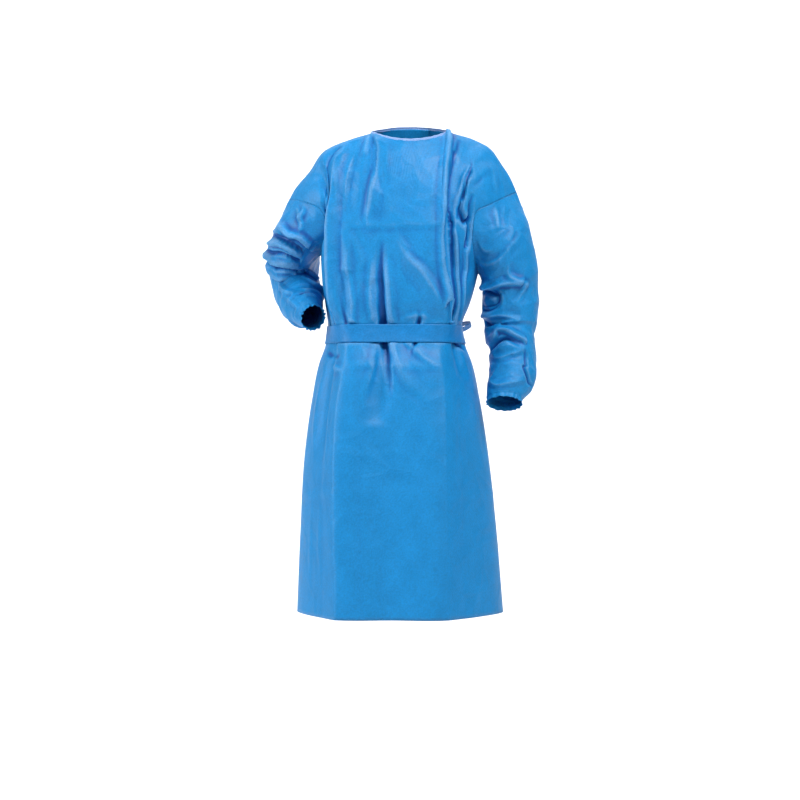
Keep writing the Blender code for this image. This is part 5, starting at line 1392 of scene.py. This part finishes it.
# Belt's tails: its two free ends, hanging from the knot on the back of the skirt.
TAILS = (
    # piece, node, first column, last column, columns drifted by the end, end height, stand off
    ("free_tail_left", "belt_tail_left", 37.5, 38.6, -1.0, -0.790, 0.0009),
    ("free_tail_right", "belt_tail_right", 38.9, 40.0, 0.9, -0.845, 0.0009),
)
TAIL_STEPS = 100
TAIL_ACROSS = 12


def tail(name, node, first, last, drift, end_z, stand_off):
    """One free end of the belt."""
    table_rows = np.linspace(0.0, SKIRT_ROWS, 100)
    table_z = row_height(np.full(100, 34.0), table_rows)
    share = np.linspace(1.0, 0.0, TAIL_STEPS + 1)
    row = np.interp((BELT_LOW_Z - 0.006) + (end_z - BELT_LOW_Z) * share, table_z, table_rows)
    middle = (first + last) / 2 + drift * share
    half = (last - first) / 2 * (0.55 + 0.45 * smoothstep(share * 4.0))
    columns = middle[:, None] + half[:, None] * np.linspace(-1.0, 1.0, TAIL_ACROSS)[None, :]
    rows = np.repeat(row, TAIL_ACROSS)
    rise = lap_rise(columns - FRONT_COLUMNS) + stand_off + 0.0010 + 0.004 * share[:, None]
    points = body(columns.ravel(), rows, rise.ravel(), folded=False).reshape(TAIL_STEPS + 1, TAIL_ACROSS, 3)
    way = outward(points)
    points = points + way * abs(unevenness(points, 0.04, 0.0016, seed=2.0))[..., None]
    piece = shell(name, points, belt_cloth, thickness=LOOP_THICKNESS)
    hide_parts(node)


for facts in TAILS:
    tail(*facts)


# Studio: a plain pale floor that curves up behind. Broad soft lights stand on the left, on the
# right and in front, and one more lights the back of the room.
FLOOR_Z = -1.75
FLOOR_NEAR_Y = -8.0
FLOOR_LENGTH = 18.0
FLOOR_HALF_WIDTH = 9.0
BEND_Y = 3.0
BEND_RADIUS = 2.5
mesh = bmesh.new()
bmesh.ops.create_grid(mesh, x_segments=4, y_segments=80, size=1.0)
for vertex in mesh.verts:
    y = FLOOR_NEAR_Y + (vertex.co.y + 1.0) / 2.0 * FLOOR_LENGTH
    turn = min(max((y - BEND_Y) / (0.5 * np.pi * BEND_RADIUS), 0.0), 1.0) * np.pi / 2
    past = max(y - BEND_Y - 0.5 * np.pi * BEND_RADIUS, 0.0)
    height = FLOOR_Z + BEND_RADIUS * (1.0 - np.cos(turn)) + past
    vertex.co = (vertex.co.x * FLOOR_HALF_WIDTH, min(y, BEND_Y) + BEND_RADIUS * np.sin(turn), height)
floor_finish, _, floor_look = bare_finish("studio_floor")
floor_look["Base Color"].default_value = (0.86, 0.87, 0.88, 1.0)
floor_look["Roughness"].default_value = 0.9
floor = as_object("studio_floor", mesh, floor_finish)


LIGHTS = (
    # name, place, target, size, power
    ("left soft box", (-3.0, -0.9, 0.3), (0.0, 0.0, -0.6), (0.8, 2.2), 76.0),
    ("right soft box", (2.6, -2.4, 1.2), (0.0, 0.0, -0.5), (1.2, 1.8), 38.0),
    ("high soft box", (0.9, -2.2, 2.2), (0.0, 0.0, -0.45), (1.3, 0.8), 104.0),
    ("front fill", (-0.6, -4.6, 1.6), (0.0, 0.0, -0.7), (1.6, 1.6), 16.0),
    ("backdrop light", (0.0, 1.6, 3.0), (0.0, 5.4, -0.3), (5.0, 1.2), 330.0),
)
for name, place, target, size, power in LIGHTS:
    lamp = bpy.data.lights.new(name, "AREA")
    lamp.shape = "RECTANGLE"
    lamp.size, lamp.size_y = size
    lamp.energy = power
    light = bpy.data.objects.new(name, lamp)
    light.location = place
    light.rotation_euler = (Vector(target) - Vector(place)).to_track_quat("-Z", "Y").to_euler()
    bpy.context.collection.objects.link(light)
world = bpy.data.worlds.new("studio")
world.use_nodes = True
sky = world.node_tree.nodes["Background"].inputs
sky["Color"].default_value = (0.95, 0.97, 1.0, 1.0)
sky["Strength"].default_value = 0.13
bpy.context.scene.world = world
bpy.context.scene.view_settings.view_transform = "Standard"

camera_data = bpy.data.cameras.new("camera")
camera_data.lens = 84.375
camera_data.sensor_width = 36.0
camera = bpy.data.objects.new("camera", camera_data)
camera.location = (-0.024, -4.5, -0.648)
camera.rotation_euler = (np.pi / 2, 0.0, 0.0)
bpy.context.collection.objects.link(camera)
bpy.context.scene.camera = camera
